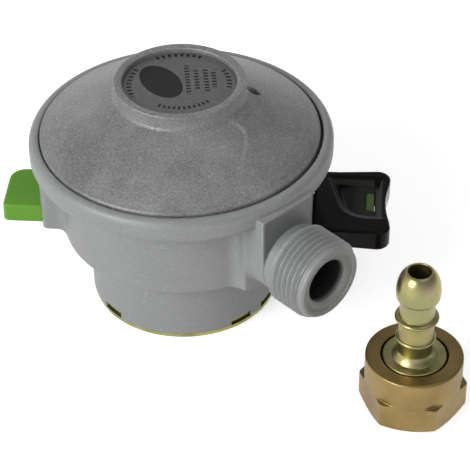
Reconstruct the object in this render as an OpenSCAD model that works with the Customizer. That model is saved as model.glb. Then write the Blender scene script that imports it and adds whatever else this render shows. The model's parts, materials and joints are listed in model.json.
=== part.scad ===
// Clip-on low-pressure gas regulator for a 27 mm bottle valve, with its separate
// union nut and hose nozzle standing beside it. Millimetres, +Z up.
// The origin is on the axis of the round body, on the surface that it stands on.
// +X runs along the locking slide, from the green tongue to the black knob.

/* [Bottle valve] */
// Diameter of the bottle valve's head
valve_d = 27; // [26:0.5:28]
// Diameter of the neck under that head
valve_neck_d = 24; // [22:0.5:25]
// Radial play of the head in its guide
valve_play = 0.25; // [0.15:0.05:0.35]
// Height of the guide bore
guide_h = 6; // [5:0.5:7]

/* [Casting] */
// Outer radius of the collar
collar_r = 23.2; // [23:0.1:24]
// Height of the collar
collar_h = 19.2; // [18.6:0.1:20]
// Wall of the collar
collar_wall = 3; // [2.5:0.1:3.2]
// Outer radius of the bowl
bowl_r = 29.4; // [29:0.1:30.5]
// Wall of the bowl
bowl_wall = 2; // [1.6:0.1:2.2]
// Thickness of the web between collar and bowl
web_t = 2; // [1.6:0.1:2.4]
// Outer radius of the rolled rim
rim_r = 36.5; // [36:0.1:38]
// Height of the rim's lower edge
rim_z = 40.8; // [40.5:0.1:42]
// Height of the rolled rim
rim_h = 5.2; // [5:0.1:6]
// Width of the rolled lip over the bonnet
lip_w = 2.5; // [2.2:0.1:2.8]
// Radius of the fillet under the rim
flare_r = 4.6; // [3:0.2:5]
// Width of a notch in the collar's edge
notch_w = 6; // [4:0.5:7]
// Height of a notch
notch_h = 1.8; // [1.2:0.1:2.5]

/* [Guide ring] */
// Thickness of the steel guide ring
ring_t = 0.9; // [0.7:0.1:1.1]
// Height of the ring's sleeve
ring_h = 13.5; // [10:0.5:13.8]
// How far the ring's lip stays inside the collar
ring_inset = 0.3; // [0.1:0.1:0.6]

/* [Slide housing] */
// Width of the housing
housing_w = 18; // [17.6:0.1:19]
// Distance of its left end from the axis
housing_left = 34; // [33:0.2:35]
// Distance of its right end from the axis
housing_right = 31.6; // [31:0.1:33]
// Thickness of the housing's floor
housing_floor = 0.8; // [0.7:0.1:1.1]

/* [Locking slide] */
// Travel of the slide
travel = 8; // [6:0.5:8]
// Width of the slide's arms
arm_w = 15.4; // [14.4:0.1:15.6]
// Thickness of the arms
arm_t = 4.9; // [4.4:0.1:5]
// Play between the slide and its housing
slide_play = 0.3; // [0.2:0.05:0.4]
// How far the green tongue stands out
tongue_out = 9.7; // [8.6:0.1:11]
// Radius of the tongue's far corner
tongue_corner = 4; // [2:0.2:5]
// Radius of the tongue's near corner
tongue_near_corner = 1.5; // [0.5:0.1:2.5]
// Thickness of the lock plate
plate_t = 2; // [1.6:0.1:2.2]
// Width of the lock plate
plate_w = 35; // [34:0.5:36]
// Thickness of the plate's upright ears
ear_t = 1.5; // [1.2:0.1:1.6]
// Radius of the pins that join plate and arms
pin_r = 1; // [0.8:0.1:1.1]
// Radius of the detent ball
ball_r = 1.5; // [1.2:0.1:1.5]

/* [Knob] */
// Half-width of the knob at the housing
knob_w_in = 11.8; // [11:0.1:12.4]
// Half-width of the knob near its outer end
knob_w_out = 12.5; // [12:0.1:13.5]
// Thickness of the knob
knob_t = 4.6; // [4.3:0.1:5]
// Length of the knob
knob_len = 18.9; // [17:0.1:21]
// Radius of the knob's outer corners
knob_corner = 3; // [2:0.2:4]
// Depth of the hollow in the knob's outer edge
knob_notch = 1.3; // [0.6:0.1:1.8]
// Height of the rim round the thumb hollow
knob_rim = 0.7; // [0.4:0.1:1]
// Length of the green lug, across the knob
lug_l = 7; // [5:0.5:8]
// Width of the green lug
lug_w = 2; // [1.5:0.1:2.4]

/* [Outlet] */
// Angle of the outlet, turned from the slide's axis
outlet_angle = 43; // [42:0.5:46]
// Height of the outlet's axis
outlet_z = 28.8; // [28:0.2:29.4]
// Distance of the outlet's end from the body's axis
outlet_l = 50.7; // [49:0.1:54]
// Outer diameter of the outlet's thread
thread_d = 20; // [19:0.5:20]
// Pitch of the thread
thread_pitch = 1.5; // [1:0.25:2]
// Length of the threaded part
thread_l = 9.2; // [8:0.1:11]
// Diameter of the smooth neck
neck_d = 18.8; // [17:0.1:19]
// Diameter of the outlet's bore
bore_d = 10.9; // [9:0.1:12]
// Diameter of the chamfer at the bore's mouth
mouth_d = 13.7; // [12.5:0.1:14.5]
// Distance of the block's flat face from the axis
block_l = 35; // [34:0.1:36]
// Half-width of the outlet's block
block_w = 8.7; // [8:0.1:9.2]
// Rounding of the block's corner
block_corner = 2.6; // [1.5:0.1:3.5]
// Radius of the block's foot under the outlet
foot_r = 32.3; // [31.5:0.1:33.5]

/* [Bonnet] */
// Height of the bonnet's top ring
top_z = 60.2; // [60:0.1:62]
// Outer radius of the top ring
top_r = 15.6; // [15:0.1:16.5]
// Height of the top ring over the cone
top_ring_h = 3.4; // [3:0.1:3.8]
// Height of the cone's foot over the rim
cone_foot_h = 1.8; // [1.4:0.1:2.2]
// Wall of the bonnet
bonnet_wall = 2.2; // [1.8:0.1:2.4]
// Radius of the recess for the cover disc
recess_r = 13.5; // [13:0.1:13.8]
// Depth of the cover disc's face below the ring
recess_depth = 1.2; // [0.8:0.1:1.6]
// Thickness of the cover disc
disc_t = 1.2; // [0.8:0.1:1.4]
// Radius of the vent hole
vent_r = 0.9; // [0.5:0.1:1]

/* [Diaphragm and spring] */
// Thickness of the diaphragm's bead
bead_t = 1.3; // [1.2:0.1:1.4]
// Thickness of the diaphragm's sheet
sheet_t = 0.6; // [0.5:0.05:0.7]
// Radius of the low-pressure chamber
chamber_r = 31.5; // [31.2:0.1:31.8]
// Radius of the plate on the diaphragm
back_plate_r = 21; // [18:0.5:22]
// Radius of the adjusting screw
screw_r = 11.7; // [11:0.1:11.8]
// Height of the adjusting screw
screw_h = 3.6; // [3:0.1:3.8]
// Middle radius of the main spring
spring_r = 8.3; // [7.5:0.1:9]
// Wire diameter of the main spring
wire_d = 1.2; // [1:0.1:1.2]
// Turns of the main spring
spring_turns = 4; // [3:0.5:4]

/* [Gas valve] */
// Thickness of the chamber's floor
floor_t = 2.8; // [2.6:0.1:3]
// Stroke of the spigot
spigot_stroke = 2; // [1.5:0.1:2]
// Radius of the spigot's stem
stem_r = 3.2; // [3:0.1:3.3]
// Radius of the trunnion pins
trunnion_r = 1.2; // [1:0.1:1.25]
// Distance of the lever's pin from the axis
pivot_x = 9; // [8.6:0.1:9.4]
// Distance of the gas jet from the axis
jet_x = 13; // [12.8:0.1:13.6]
// Radius of the gas jet
jet_r = 2.2; // [2:0.1:2.3]
// Half-width of the lever
lever_w = 2.2; // [1.8:0.1:2.3]

/* [Union nut] */
// Distance of the nut from the body's axis, along the slide
nut_x = 57; // [54:0.5:64]
// Distance of the nut in front of the slide
nut_y = 41.5; // [38:0.5:48]
// Turn of the hexagon
nut_turn = 51; // [0:1:60]
// Width across the nut's flats
nut_af = 22; // [21.6:0.1:24]
// Height of the hexagon
hex_h = 9.6; // [8:0.1:10.5]
// Height of the whole nut
nut_h = 14.5; // [14:0.1:16]
// Radius of the nut's round collar
nut_collar_r = 11.4; // [11:0.1:11.6]
// Radius of the hole in the nut's top
nut_hole_r = 7.85; // [7.6:0.05:8.2]
// Thickness of the nut's top wall
nut_top_t = 3; // [2.4:0.1:3.4]

/* [Hose nozzle] */
// Height of the whole nozzle's end above the surface
nozzle_top = 39.2; // [38:0.2:44]
// Radius of the nozzle's bore
nozzle_bore_r = 2.95; // [2.4:0.05:3.1]
// Radius of the shank
shank_r = 4.05; // [3.8:0.05:4.3]
// Radius of the widest part of the barb
barb_r = 5.15; // [4.8:0.05:5.4]
// Radius of the disc in the nut's top
boss_r = 7.75; // [7.4:0.05:7.8]
// Thickness of the flat seal
seal_t = 2; // [1.5:0.1:2.2]

/* [Hidden] */

fine = 96;
small = 40;
// Overlap that lets a cut pass through a face
cut = 1;
// Gap between parts that seat in each other
seat = 0.1;
// Radial fit of a pin or stem in its hole
fit = 0.05;
// Gap that keeps moving parts apart
clear = 0.3;

// Angles of the notches on one half of the collar
notch_angles = [-136, -48, -22];

// Guide for the valve's head, and the cavity above it
guide_r = valve_d / 2 + valve_play;
cavity_z = collar_h + web_t;
guide_z = cavity_z - guide_h;
deck_r = bowl_r - bowl_wall;
ledge_w = 1.6;
cavity_r = deck_r - ledge_w;
sleeve_r = collar_r - collar_wall;

// Rim, seat of the diaphragm and chamber
rim_round = 1.2;
seat_depth = 3;
chamber_depth = 2.5;
deck_depth = 8.8;
rim_top = rim_z + rim_h;
lip_r = rim_r - lip_w;
seat_z = rim_top - seat_depth;
bonnet_base_z = seat_z + bead_t;
chamber_z = seat_z - chamber_depth;
deck_z = seat_z - deck_depth;
deck_top = deck_z + floor_t;
circlip_z = deck_top + seat;
circlip_t = 1;
circlip_groove = 0.9;
gas_way_r = 1.6;
gas_way_l = 10.5;
gas_way_lean = 21.6;

// Slide
tunnel_w = arm_w + 2 * slide_play;
housing_lift = 1.8;
housing_z = collar_h + housing_lift;
tunnel_z = housing_z + housing_floor;
arm_z = tunnel_z + slide_play;
arm_top = arm_z + arm_t;
plate_z = arm_z + 1;
plate_top = plate_z + plate_t;
plate_r = cavity_r - 0.4;
plate_hole_r = valve_d / 2 + 0.4;
plate_slot_r = valve_neck_d / 2 + clear;
tongue_end = -(guide_r + travel + clear);
arm_start = guide_r + 0.7;
left_pin_x = tongue_end - pin_r - 0.45;
right_pin_x = arm_start + pin_r + 0.3;
pin_y = 4;
ear_y = guide_r + 0.85;
ear_top = deck_z - clear;
trunnion_z = ear_top - trunnion_r - fit - 0.85;
knob_x = housing_right + 0.4;
knob_z = housing_z;
knob_top = knob_z + knob_t;
knob_waist = 6;
knob_rim_w = 2.2;
stub_z = knob_z + 1.4;
stub_t = 1.8;
stub_w = 10;
lug_offset = 14;
lug_x = knob_x + lug_offset;
ball_x = (cavity_r + housing_right) / 2 + 0.2;
ball_groove_w = 1.6;
ball_groove_h = 0.3;
ball_groove_end = 1.4;
ball_z = arm_top + fit + sqrt(ball_r * ball_r - ball_groove_w * ball_groove_w / 4);
ball_bore_r = ball_r + seat;
detent_bore_h = 4;
detent_top = ball_z + detent_bore_h;

// Gas valve
boss_r_in = stem_r + 1;
deck_boss_r = boss_r_in + 1.2;
o_groove_z = deck_z + 0.5;
o_groove_h = 1.1;
o_wire_r = 0.5;
// The room above the stem, over the lip of the seal's groove and under the boss's ceiling
groove_lip = 0.4;
room_z = o_groove_z + o_groove_h + groove_lip;
room_ceiling = 0.5;
stem_top = o_groove_z + o_groove_h + spigot_stroke + 0.3;
deck_boss_top = stem_top + 0.7;
spigot_flange_z = trunnion_z - 2.2;
spigot_flange_t = 0.9;
spigot_flange_r = 6.6;
spigot_body_r = 4.5;
spigot_nose_r = 2.5;
spigot_hole_r = 1;
filter_r = 1.9;
trunnion_depth = 1.5;
seal_h = 1.1;
// The lever pivots lower than its tip, and leaves room above the jet for the stroke
lever_tip_z = deck_boss_top + 2.6;
lever_drop = 1.3;
pivot_z = lever_tip_z - lever_drop;
lever_t = 0.8;
pad_t = 0.8;
pad_r = 1.8;
jet_gap = 0.85;
jet_top = pivot_z - lever_t / 2 - pad_t - jet_gap;
jet_seat_z = deck_z + 0.8;
jet_hole_r = 0.5;
jet_boss_r = 3.4;
jet_boss_lift = 0.4;
jet_bar_w = 6;
tip_r = 0.5;
hook_end = 0.5;
hook_back = 2.8;
hook_w = 3.6;
hook_floor = 0.6;
hook_slot = 1.5;
lever_pin_r = 0.7;
lever_hub_r = 1.3;
post_w = 1.6;
post_l = 2.2;
post_y = lever_w + clear + post_w / 2;
sheet_z = seat_z + 0.2;
stem_flange_t = 0.8;
stem_flange_z = sheet_z - stem_flange_t;
stem_flange_r = 7.5;
stem_hole_r = stem_r - 0.1;
back_z = sheet_z + sheet_t;
back_t = 0.8;
back_rim_w = 0.8;
stem_nut_h = 1.8;
stem_nut_r = 4.8;

// Bonnet
disc_top = top_z - recess_depth;
disc_z = disc_top - disc_t;
screw_top = disc_z - 0.8;
screw_z = screw_top - screw_h;
socket_af = 8;
socket_depth = 2.4;
pilot_h = 1;
cone_z = top_z - top_ring_h;
shoulder_r = lip_r - 2.8;
shoulder_z = rim_top + cone_foot_h;
cone_tan = (cone_z - shoulder_z) / (shoulder_r - top_r);
cone_a = atan(cone_tan);
boss_bore_r = screw_r + seat;

// Nut and nozzle
nut_thread_r = thread_d / 2 - thread_pitch / 2;
nut_floor = nut_h - nut_top_t;
nozzle_flange_t = 2.6;
nozzle_flange_r = nut_thread_r - 0.2;
nozzle_z = nut_floor - seat - nozzle_flange_t;
relief_r = nut_thread_r + 0.35;
relief_z = nozzle_z - fit - seal_t - 0.2;
boss_top = nut_h - 0.5;
// Cone at the shank's foot, as distances out from the shank and up from the boss
nozzle_foot = [[1.5, 0], [1.1, 1], [0, 2.2]];
// Ridges of the hose tail: rise over the boss, stand-out, slope's height, flat's height
ridge_low = [4.6, 0.75, 0.9, 1.2];
ridge_high = [10.6, 1.07, 1.2, 1];
barb_z = boss_top + 17.2;
barb_rise = 1.7;
barb_flat = 1.3;

// Points on an arc, from angle a0 to a1 in n steps
function arc(c, r, a0, a1, n) =
    [for (i = [0:n]) let (a = a0 + (a1 - a0) * i / n) [c[0] + r * cos(a), c[1] + r * sin(a)]];

// Points along a coil that starts at angle 0
coil_rings = 8;
wire_sides = 6;
function coil_point(r, h, turns, i) =
    let (n = turns * coil_rings, a = 360 * i / coil_rings) [r * cos(a), r * sin(a), h * i / n];

// One unbroken round wire wound as a coil of middle radius r and height h
module coil(r, h, turns, wire_r) {
    n = turns * coil_rings;
    lean = atan(h / (2 * PI * r * turns));
    points = [for (i = [0:n]) let (p = coil_point(r, h, turns, i), a = 360 * i / coil_rings)
        for (k = [0:wire_sides - 1]) let (
            w = 360 * k / wire_sides,
            out = wire_r * cos(w),
            up = wire_r * sin(w))
            [p[0] + out * cos(a) + up * sin(lean) * sin(a),
             p[1] + out * sin(a) - up * sin(lean) * cos(a),
             p[2] + up * cos(lean)]];
    sides = [for (i = [0:n - 1], k = [0:wire_sides - 1]) let (
        a = i * wire_sides + k,
        b = i * wire_sides + (k + 1) % wire_sides)
        each [[a, a + wire_sides, b], [b, a + wire_sides, b + wire_sides]]];
    ends = [for (k = [1:wire_sides - 2])
        each [[0, k, k + 1],
              [n * wire_sides, n * wire_sides + k + 1, n * wire_sides + k]]];
    gap = h / turns * cos(lean) - 2 * wire_r;
    echo(coil_radius = r, least_gap_to_itself = gap);
    polyhedron(points, concat(sides, ends));
}

// Ring cut from a tube
module tube(r_out, r_in, h, faces = fine) {
    difference() {
        cylinder(r = r_out, h = h, $fn = faces);
        translate([0, 0, -cut]) cylinder(r = r_in, h = h + 2 * cut, $fn = faces);
    }
}

// Box centred on Y, from x0 to x1 and z0 to z1
module bar(x0, x1, w, z0, z1) {
    translate([x0, -w / 2, z0]) cube([x1 - x0, w, z1 - z0]);
}

// Turns its children so that +X becomes the outlet's axis, lifted to the outlet's height
module at_outlet() {
    rotate([0, 0, -outlet_angle]) translate([0, 0, outlet_z]) children();
}

// Turns the notches' places into copies of its children, round the collar
module at_notches() {
    for (a = notch_angles, half = [0, 180]) rotate([0, 0, a + half]) children();
}

// Plan of the outlet's block, with its corner away from the knob rounded
module block_plan() {
    polygon(concat([[0, block_w], [0, -block_w]],
        arc([block_l - block_corner, -block_w + block_corner], block_corner, -90, 0, 6),
        [[block_l, block_w]]));
}

module body_shell() {
    rotate_extrude($fn = fine) polygon(concat(
        [[sleeve_r, ring_t], [collar_r - 0.3, ring_t], [collar_r, ring_t + 0.3],
         [collar_r, collar_h], [bowl_r - 0.6, collar_h], [bowl_r, collar_h + 0.6]],
        arc([bowl_r + flare_r, rim_z - flare_r], flare_r, 180, 90, 6),
        arc([rim_r - rim_round, rim_z + rim_round], rim_round, -90, 0, 3),
        arc([rim_r - rim_round, rim_top - rim_round], rim_round, 0, 90, 3),
        [[lip_r + 0.3, rim_top], [lip_r, rim_top - 0.3], [lip_r, seat_z],
         [chamber_r, seat_z], [chamber_r, chamber_z], [deck_r, chamber_z],
         [deck_r, deck_z], [cavity_r, deck_z], [cavity_r, cavity_z],
         [guide_r, cavity_z], [guide_r, guide_z], [sleeve_r, guide_z]]));
}

// Housing of the slide, the outlet's block and the corner between them, still solid inside
module side_blocks() {
    corner_y = block_l * sin(outlet_angle) - block_w * cos(outlet_angle);
    top = rim_z + cut;
    bar(-housing_left, housing_right, housing_w, housing_z, top);
    translate([0, -corner_y, housing_z]) cube([housing_right, corner_y, top - housing_z]);
    rotate([0, 0, -outlet_angle]) {
        translate([0, 0, outlet_z]) linear_extrude(top - outlet_z) block_plan();
        intersection() {
            translate([0, 0, collar_h]) linear_extrude(rim_z - collar_h) block_plan();
            cylinder(r = foot_r, h = rim_z, $fn = fine);
        }
    }
}

// Outlet's neck and thread, from the body's axis outwards
module outlet_pipe() {
    at_outlet() rotate([0, 90, 0]) {
        cylinder(r = block_w, h = block_l, $fn = fine);
        cylinder(d = neck_d, h = outlet_l - thread_l + seat, $fn = fine);
    }
    at_outlet() translate([outlet_l - thread_l, 0, 0]) rotate([0, 90, 0])
        rotate_extrude($fn = fine) polygon([[0, 0],
            [thread_d / 2 - 0.4, 0], [thread_d / 2, 0.4],
            [thread_d / 2, thread_l - 0.8], [thread_d / 2 - 0.8, thread_l],
            [0, thread_l]]);
}

module lower_body() {
    color("#a3a5a7") difference() {
        union() {
            body_shell();
            difference() {
                union() {
                    side_blocks();
                    outlet_pipe();
                }
                // The blocks end in the bowl's wall, and under the chamber's ledge
                translate([0, 0, -cut])
                    cylinder(r = bowl_r - bowl_wall / 4, h = rim_top, $fn = fine);
                translate([0, 0, chamber_z]) cylinder(r = chamber_r, h = rim_h, $fn = fine);
            }
        }
        // Tunnel for the slide, from end to end
        bar(-housing_left - cut, housing_right + cut, tunnel_w, tunnel_z,
            arm_top + slide_play);
        // Outlet bore with its chamfered mouth
        at_outlet() translate([bowl_r + 1.4, 0, 0]) rotate([0, 90, 0])
            cylinder(r = bore_d / 2 - 1.4, h = outlet_l, $fn = fine);
        at_outlet() translate([block_l + cut, 0, 0]) rotate([0, 90, 0])
            cylinder(d = bore_d, h = outlet_l, $fn = fine);
        at_outlet() translate([outlet_l - 1.2, 0, 0]) rotate([0, 90, 0])
            cylinder(d1 = bore_d, d2 = mouth_d, h = 1.21, $fn = fine);
        // Gas way from the chamber down to the outlet bore
        rotate([0, 0, -outlet_angle]) translate([bowl_r + 0.2, 0, chamber_z + 0.2])
            rotate([0, 180 - gas_way_lean, 0]) cylinder(r = gas_way_r, h = gas_way_l,
                $fn = small);
        // Groove for the ring that holds the chamber's floor
        translate([0, 0, circlip_z]) tube(deck_r + circlip_groove, deck_r - cut,
            circlip_t + 2 * seat);
        at_notches() translate([sleeve_r - cut, -notch_w / 2, 0])
            cube([collar_wall + 2 * cut, notch_w, ring_t + notch_h]);
        // Bore of the detent ball
        translate([ball_x, 0, arm_top]) cylinder(r = ball_bore_r,
            h = detent_top - arm_top, $fn = small);
    }
}

module guide_ring() {
    color("#b5a13c") {
        rotate_extrude($fn = fine) polygon([
            [sleeve_r - seat - ring_t, 0], [collar_r - ring_inset, 0],
            [collar_r - ring_inset, ring_t], [sleeve_r - seat, ring_t],
            [sleeve_r - seat, ring_h], [sleeve_r - seat - ring_t, ring_h]]);
        // Tabs that stand in the collar's notches
        intersection() {
            tube(collar_r - 0.9, sleeve_r - seat - ring_t / 2, ring_t + notch_h - 0.4);
            at_notches() translate([sleeve_r - 2, -notch_w / 2 + 0.2, ring_t / 2])
                cube([collar_wall + 2, notch_w - 0.4, notch_h + ring_t]);
        }
    }
}

module bonnet() {
    color("#8f9194") difference() {
        rotate_extrude($fn = fine) polygon(concat(
            [[chamber_r - 1, bonnet_base_z], [lip_r - 0.2, bonnet_base_z],
             [lip_r - 0.2, rim_top - 0.4], [lip_r - 0.5, rim_top]],
            arc([shoulder_r - 0.4, rim_top - 0.6], shoulder_z - rim_top + 0.7, 25, 60, 4),
            [[top_r + 1.6, cone_z - 1.6 * cone_tan], [top_r + 0.5, cone_z + 0.1],
             [top_r, cone_z + 0.8], [top_r, top_z - 0.5], [top_r - 0.5, top_z],
             [recess_r + 0.4, top_z], [recess_r, top_z - 0.4], [recess_r, disc_z],
             [boss_bore_r, disc_z], [boss_bore_r, screw_z - 1.4],
             [boss_bore_r + 1.8, screw_z - 1.4],
             [boss_bore_r + 1.8, cone_z - (boss_bore_r + 1.8 - top_r) * cone_tan
                 - bonnet_wall / cos(cone_a)],
             [chamber_r - 2.4, cone_z - (chamber_r - 2.4 - top_r) * cone_tan
                 - bonnet_wall / cos(cone_a)]]));
        translate([top_r + 1.4, 0, screw_z]) cylinder(r = vent_r, h = top_z, $fn = small);
    }
}

module cover_disc() {
    color("#8a8c8e") translate([0, 0, disc_z])
        cylinder(r = recess_r - seat, h = disc_t, $fn = fine);
}

module adjusting_screw() {
    // The pilot stays inside the flats of the spring's coil
    pilot_r = spring_r * cos(180 / coil_rings) - wire_d / 2 - seat;
    color("#c9a94f") difference() {
        union() {
            translate([0, 0, screw_z]) cylinder(r = screw_r, h = screw_h, $fn = fine);
            translate([0, 0, screw_z - pilot_h])
                cylinder(r = pilot_r, h = pilot_h + seat, $fn = fine);
        }
        translate([0, 0, screw_top - socket_depth])
            cylinder(d = socket_af / cos(30), h = socket_depth + cut, $fn = 6);
    }
}

module main_spring() {
    h = screw_z - back_z - back_t - wire_d - 2 * fit;
    color("#b8bcc0") translate([0, 0, back_z + back_t + wire_d / 2 + fit])
        coil(spring_r, h, spring_turns, wire_d / 2);
}

module diaphragm() {
    bottom = sheet_z;
    fold_r = 2.4;
    fold_x = chamber_r - 1 - fold_r;
    color("#2c2a28") rotate_extrude($fn = fine) polygon(concat(
        [[stem_hole_r, bottom]],
        arc([fold_x, bottom], fold_r, 180, 360, 8),
        [[chamber_r - 0.6, seat_z], [lip_r - 0.2, seat_z], [lip_r - 0.2, bonnet_base_z],
         [chamber_r - 0.8, bonnet_base_z], [chamber_r - 1, bottom + sheet_t]],
        arc([fold_x, bottom + sheet_t], fold_r - sheet_t, 360, 180, 8),
        [[stem_hole_r, bottom + sheet_t]]));
}

module diaphragm_plate() {
    color("#c2c4c6") translate([0, 0, back_z]) difference() {
        union() {
            cylinder(r = back_plate_r, h = back_t, $fn = fine);
            tube(back_plate_r, back_plate_r - back_rim_w, 2 * back_t);
        }
        translate([0, 0, -cut]) cylinder(r = stem_hole_r, h = back_t + 2 * cut, $fn = fine);
    }
}

module diaphragm_stem() {
    hook_in = tip_r + fit;
    color("#d2d2cc") difference() {
        union() {
            translate([0, 0, stem_flange_z])
                cylinder(r = stem_flange_r, h = stem_flange_t, $fn = fine);
            translate([0, 0, stem_flange_z]) cylinder(r = stem_hole_r - seat,
                h = back_z + back_t + stem_nut_h - stem_flange_z, $fn = fine);
            bar(-hook_back, hook_end, hook_w, lever_tip_z - hook_in - hook_floor,
                stem_flange_z + seat);
        }
        // Slot for the lever's tip, open towards the lever
        bar(-hook_slot, hook_end + cut, hook_w + cut, lever_tip_z - hook_in,
            lever_tip_z + hook_in);
    }
}

module stem_nut() {
    color("#c9a94f") translate([0, 0, back_z + back_t]) difference() {
        cylinder(r = stem_nut_r, h = stem_nut_h, $fn = 6);
        translate([0, 0, -cut])
            cylinder(r = stem_hole_r - fit, h = stem_nut_h + 2 * cut, $fn = fine);
    }
}

module valve_lever() {
    color("#b7babd") difference() {
        union() {
            // Long arm, rising to the round tip in the stem's hook
            translate([0, lever_w, 0]) rotate([90, 0, 0]) linear_extrude(2 * lever_w)
                polygon([[0, lever_tip_z - tip_r / 2], [0, lever_tip_z + tip_r / 2],
                    [pivot_x, pivot_z + lever_t / 2], [pivot_x, pivot_z - lever_t / 2]]);
            translate([0, lever_w, lever_tip_z]) rotate([90, 0, 0])
                cylinder(r = tip_r, h = 2 * lever_w, $fn = small);
            // Short arm over the jet
            bar(pivot_x, jet_x + pad_r + seat, 2 * lever_w, pivot_z - lever_t / 2,
                pivot_z + lever_t / 2);
            translate([pivot_x, lever_w, pivot_z]) rotate([90, 0, 0])
                cylinder(r = lever_hub_r, h = 2 * lever_w, $fn = small);
        }
        translate([pivot_x, lever_w + cut, pivot_z]) rotate([90, 0, 0])
            cylinder(r = lever_pin_r + fit, h = 2 * (lever_w + cut), $fn = small);
    }
}

module valve_pad() {
    color("#3a3835") translate([jet_x, 0, pivot_z - lever_t / 2 - pad_t])
        cylinder(r = pad_r, h = pad_t, $fn = small);
}

module lever_pin() {
    half = post_y + post_w / 2;
    color("#b7babd") translate([pivot_x, half, pivot_z]) rotate([90, 0, 0])
        cylinder(r = lever_pin_r, h = 2 * half, $fn = small);
}

module gas_jet() {
    color("#c9a94f") translate([jet_x, 0, 0]) difference() {
        rotate_extrude($fn = small) polygon([[0, jet_seat_z], [jet_r, jet_seat_z],
            [jet_r, jet_top - 0.6], [1.1, jet_top - 0.6], [0.9, jet_top], [0, jet_top]]);
        translate([0, 0, deck_z])
            cylinder(r = jet_hole_r, h = jet_top - deck_z + cut, $fn = small);
        translate([0, 0, deck_z])
            cylinder(r = 2 * jet_hole_r, h = (jet_top - deck_z) / 2, $fn = small);
    }
}

module chamber_floor() {
    color("#aeb0b2") difference() {
        union() {
            translate([0, 0, deck_z]) cylinder(r = deck_r - seat, h = floor_t, $fn = fine);
            translate([0, 0, deck_z]) cylinder(r = deck_boss_r,
                h = deck_boss_top - deck_z, $fn = fine);
            bar(0, jet_x, jet_bar_w, deck_z, deck_top + jet_boss_lift);
            translate([jet_x, 0, deck_z])
                cylinder(r = jet_boss_r, h = floor_t + jet_boss_lift, $fn = small);
            for (s = [-1, 1]) translate([pivot_x - post_l / 2, s * post_y - post_w / 2, deck_z])
                cube([post_l, post_w, pivot_z + post_l / 2 - deck_z]);
        }
        // Stem bore, seal groove and the room above the stem
        translate([0, 0, deck_z - cut]) cylinder(r = stem_r + fit, h = room_z - deck_z + cut,
            $fn = fine);
        translate([0, 0, o_groove_z]) cylinder(r = stem_r + 2 * o_wire_r + fit,
            h = o_groove_h, $fn = fine);
        translate([0, 0, room_z])
            cylinder(r = boss_r_in, h = deck_boss_top - room_ceiling - room_z, $fn = fine);
        // Side groove for the floor's seal
        translate([0, 0, deck_z + 0.7]) tube(deck_r + cut, deck_r - 1.3, 1.4);
        // Way to the jet, and the jet's hole
        translate([stem_r, 0, room_z + jet_hole_r]) rotate([0, 90, 0])
            cylinder(r = jet_hole_r, h = jet_x - stem_r, $fn = small);
        translate([jet_x, 0, jet_seat_z]) cylinder(r = jet_r + fit, h = floor_t + cut,
            $fn = small);
        // Lever pin
        translate([pivot_x, post_y + post_w, pivot_z]) rotate([90, 0, 0])
            cylinder(r = lever_pin_r, h = 2 * (post_y + post_w), $fn = small);
    }
}

module floor_seal() {
    color("#1f1f1f") translate([0, 0, deck_z + 1.4]) rotate_extrude($fn = fine)
        translate([deck_r - 0.65, 0]) circle(r = 0.6, $fn = 24);
}

module floor_ring() {
    color("#55585c") difference() {
        translate([0, 0, circlip_z]) tube(deck_r + 0.8, deck_r - 1.4, circlip_t);
        // Gap of the split ring
        translate([-deck_r - 2, -3, circlip_z - cut]) cube([4, 6, circlip_t + 2 * cut]);
    }
}

module spigot() {
    color("#c9a94f") difference() {
        union() {
            translate([0, 0, spigot_flange_z]) cylinder(r = spigot_flange_r,
                h = spigot_flange_t, $fn = fine);
            translate([0, 0, spigot_flange_z - seal_h]) cylinder(r = spigot_nose_r,
                h = seal_h + cut, $fn = fine);
            translate([0, 0, spigot_flange_z]) cylinder(r = spigot_body_r,
                h = trunnion_z + trunnion_r + 0.6 - spigot_flange_z, $fn = fine);
            translate([0, 0, spigot_flange_z]) cylinder(r = stem_r,
                h = stem_top - spigot_flange_z, $fn = fine);
        }
        translate([0, 0, spigot_flange_z - seal_h - cut]) cylinder(r = spigot_hole_r,
            h = stem_top - spigot_flange_z + seal_h + 2 * cut, $fn = small);
        translate([0, 0, spigot_flange_z - seal_h - cut])
            cylinder(r = filter_r, h = 0.7 + cut, $fn = small);
        for (s = [-1, 1]) translate([0, s * (spigot_body_r - trunnion_depth), trunnion_z])
            rotate([-90 * s, 0, 0]) cylinder(r = trunnion_r, h = 4, $fn = small);
    }
}

module spigot_seal() {
    color("#2c2a28") translate([0, 0, spigot_flange_z - seal_h])
        tube(spigot_flange_r - 0.4, spigot_nose_r, seal_h);
}

module spigot_o_ring() {
    color("#1f1f1f") translate([0, 0, o_groove_z + o_groove_h / 2])
        rotate_extrude($fn = fine) translate([stem_r + o_wire_r + 0.03, 0])
            circle(r = o_wire_r - 0.02, $fn = 24);
}

module trunnion_pins() {
    y0 = spigot_body_r - trunnion_depth;
    color("#c3c6c9") for (s = [-1, 1]) translate([0, s * y0, trunnion_z])
        rotate([-90 * s, 0, 0])
            cylinder(r = trunnion_r, h = ear_y + ear_t - 0.1 - y0, $fn = small);
}

module inlet_filter() {
    color("#7d7f82") translate([0, 0, spigot_flange_z - seal_h + 0.1])
        cylinder(r = filter_r, h = 0.5, $fn = small);
}

// Plan of the lock plate: what stays inside the cavity over the whole travel
module plate_plan() {
    difference() {
        intersection() {
            circle(r = plate_r, $fn = fine);
            translate([-travel, 0]) circle(r = plate_r, $fn = fine);
            square([4 * plate_r, plate_w], center = true);
        }
        circle(r = plate_hole_r, $fn = fine);
        translate([-travel, 0]) circle(r = plate_slot_r, $fn = fine);
        for (x = [left_pin_x, right_pin_x], s = [-1, 1])
            translate([x, s * pin_y]) circle(r = pin_r, $fn = small);
    }
}

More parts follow.
